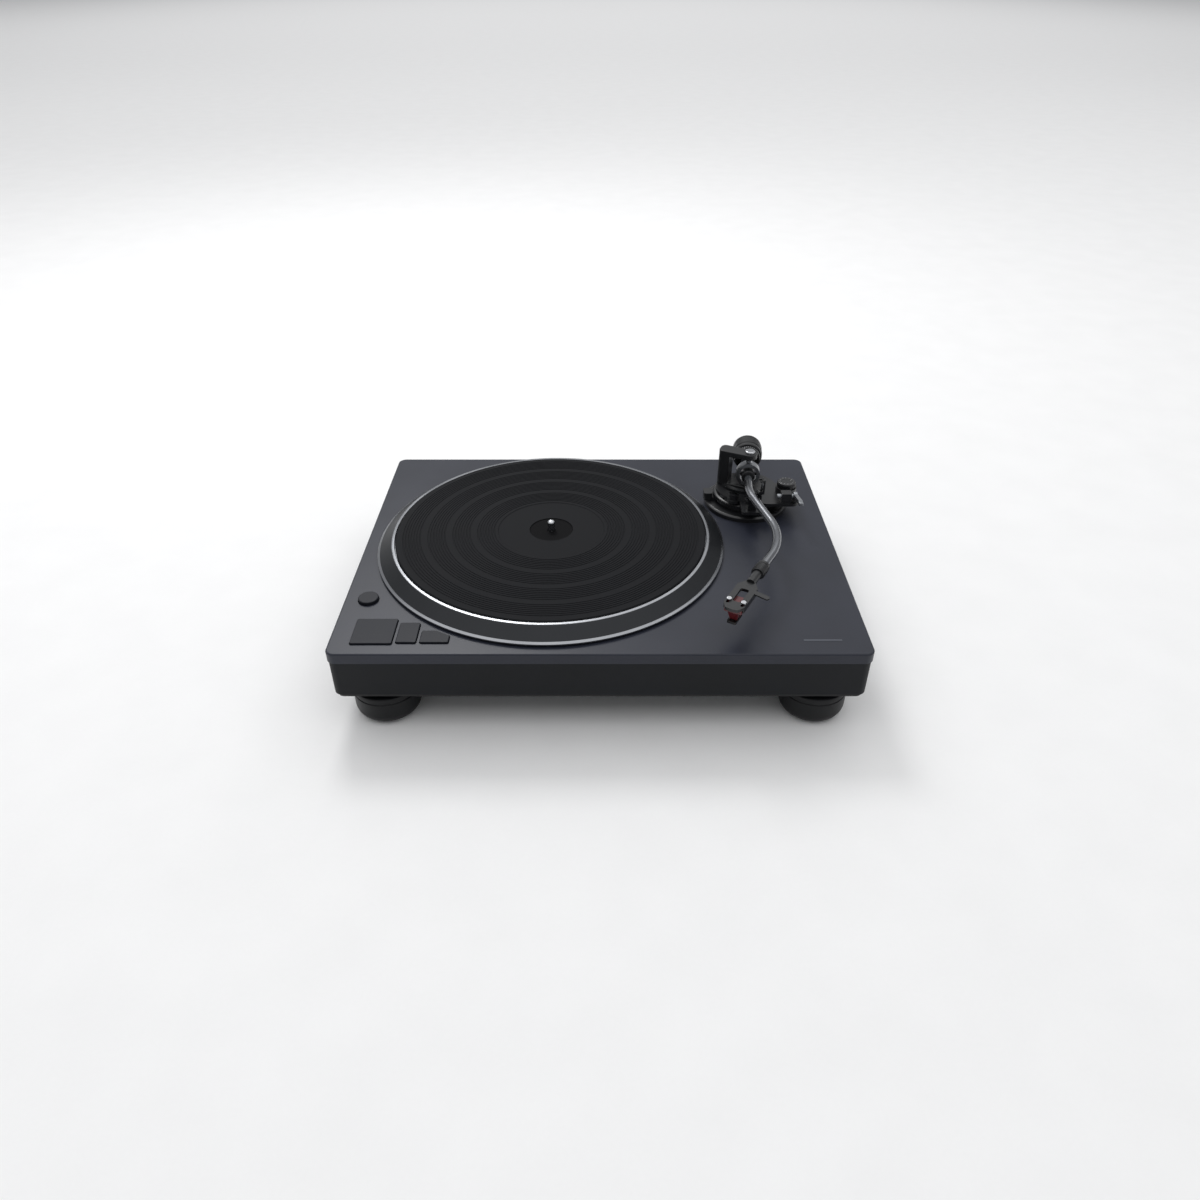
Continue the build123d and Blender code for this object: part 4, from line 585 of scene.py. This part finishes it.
WEIGHT_FROM = 36.0                       # the weight's front face, behind the pivot
FORCE_DIAL_AHEAD = 5.4                   # the dial's front face, in front of the weight's
WEIGHT_ROWS = [(6.7, 0), (12.5, 0), (14.4, 0.5), (15, 1.4), (15, 4.4), (14.6, 4.8), (14.6, 5.4), (15.1, 5.8),
               (15.1, 18.6), (14.6, 19), (14.6, 19.6), (15, 20), (15, 21.6), (14.4, 22.5), (12.5, 23),
               (10.5, 23), (10, 22.2), (6.7, 22.2)]
WEIGHT_SEAT = TAIL_SEAT @ Matrix.Translation((0, 0, WEIGHT_FROM * MM))
mount(lathe("counterweight_turned", [(r, z, ARM_BLACK) for r, z in WEIGHT_ROWS], WEIGHT_SEAT, 120),
      "counterweight", ["counterweight"])
mount(rim_blocks("counterweight_grip", 96, 15.0, (0.8, 0.5, 12.0), ARM_BLACK,
                 WEIGHT_SEAT @ Matrix.Translation((0, 0, 12.2 * MM))), "counterweight")

FORCE_ROWS = [(6.7, 0.2), (12.2, 0.2), (13.1, 0.8), (13.3, 1.4), (13.3, 4.0), (12.9, 4.6), (6.7, 4.6)]
FORCE_SEAT = TAIL_SEAT @ Matrix.Translation((0, 0, (WEIGHT_FROM - FORCE_DIAL_AHEAD) * MM))
mount(lathe("force_dial_ring", [(r, z, GLOSS_BLACK) for r, z in FORCE_ROWS], FORCE_SEAT, 96),
      "force_dial", ["force_dial"])
mount(rim_blocks("force_dial_marks", 40, 13.25, (0.3, 0.35, 1.6), PAD_PRINT,
                 FORCE_SEAT @ Matrix.Translation((0, 0, 2.9 * MM))), "force_dial")

# ------------------------------------------------------------------ nodes that keep their CAD shape
for finish, nodes in (
    (BOARD, ("control_board", "stator_board", "power_board", "phono_board")),
    (GLOSS_BLACK, ("button_switches",)),
    (ZINC, ("motor_pan", "motor_screws", "bearing_housing", "transformer", "rotor_yoke")),
    (COPPER, ("stator_coils",)),
    (BRONZE, ("bearing_bushes",)),
    (GROUND_STEEL, ("thrust_ball",)),
    (NYLON, ("bearing_cap",)),
    (FERRITE, ("rotor_magnet",)),
):
    for node in nodes:
        for held in frame["nodes"][node].material_slots:
            held.material = finish

# ------------------------------------------------------------------ floor, light and camera
FLOOR_HALF = 40.0
floor_mesh = bpy.data.meshes.new("floor")
FLOOR_CORNERS = [(-FLOOR_HALF, -FLOOR_HALF, 0), (FLOOR_HALF, -FLOOR_HALF, 0),
                 (FLOOR_HALF, FLOOR_HALF, 0), (-FLOOR_HALF, FLOOR_HALF, 0)]
floor_mesh.from_pydata(FLOOR_CORNERS, [], [(0, 1, 2, 3)])
floor = as_object("floor", floor_mesh)
floor_mesh.materials.append(surface("matt_paper", "f2f2f2", "efefef", 0.8, grain=3.0, bump=0.002))


def softbox(name, place, target, size, power, mirrored=True):
    """A square soft light at place, aimed at target; one that isn't mirrored leaves no reflection."""
    light = bpy.data.lights.new(name, "AREA")
    light.size = size
    light.energy = power
    holder = bpy.data.objects.new(name, light)
    holder.matrix_world = seat(Vector(place), Vector(place) - Vector(target))
    holder.visible_glossy = mirrored
    bpy.context.scene.collection.objects.link(holder)


# A wide ceiling softbox lights everything evenly, a smaller one behind on the left draws the arm's shadow, and
# a third one keeps the floor far behind as pale as the floor round the player.
softbox("ceiling", (0, 1.0, 3.5), (0, 1.0, 0), 8.0, 154)
softbox("key", (-0.52, 1.28, 1.76), (0, 0, 0.08), 0.6, 14)
softbox("far_floor", (0, 12.0, 3.5), (0, 12.0, 0), 13.0, 300, mirrored=False)

world = bpy.data.worlds.new("pale_room")
world.use_nodes = True
world.node_tree.nodes["Background"].inputs["Color"].default_value = linear("f1f2f4")
world.node_tree.nodes["Background"].inputs["Strength"].default_value = 0.45
bpy.context.scene.world = world
bpy.context.scene.view_settings.view_transform = "Standard"

CAMERA_BACK = 0.746
CAMERA_UP = 0.4656
CAMERA_DIP = 35.72
camera = bpy.data.cameras.new("camera")
camera.lens = 27.01
camera.sensor_width = 36.0
viewer = bpy.data.objects.new("camera", camera)
viewer.location = (0, -CAMERA_BACK, DECK_TOP + CAMERA_UP)
viewer.rotation_euler = (radians(90 - CAMERA_DIP), 0, 0)
bpy.context.scene.collection.objects.link(viewer)
bpy.context.scene.camera = viewer
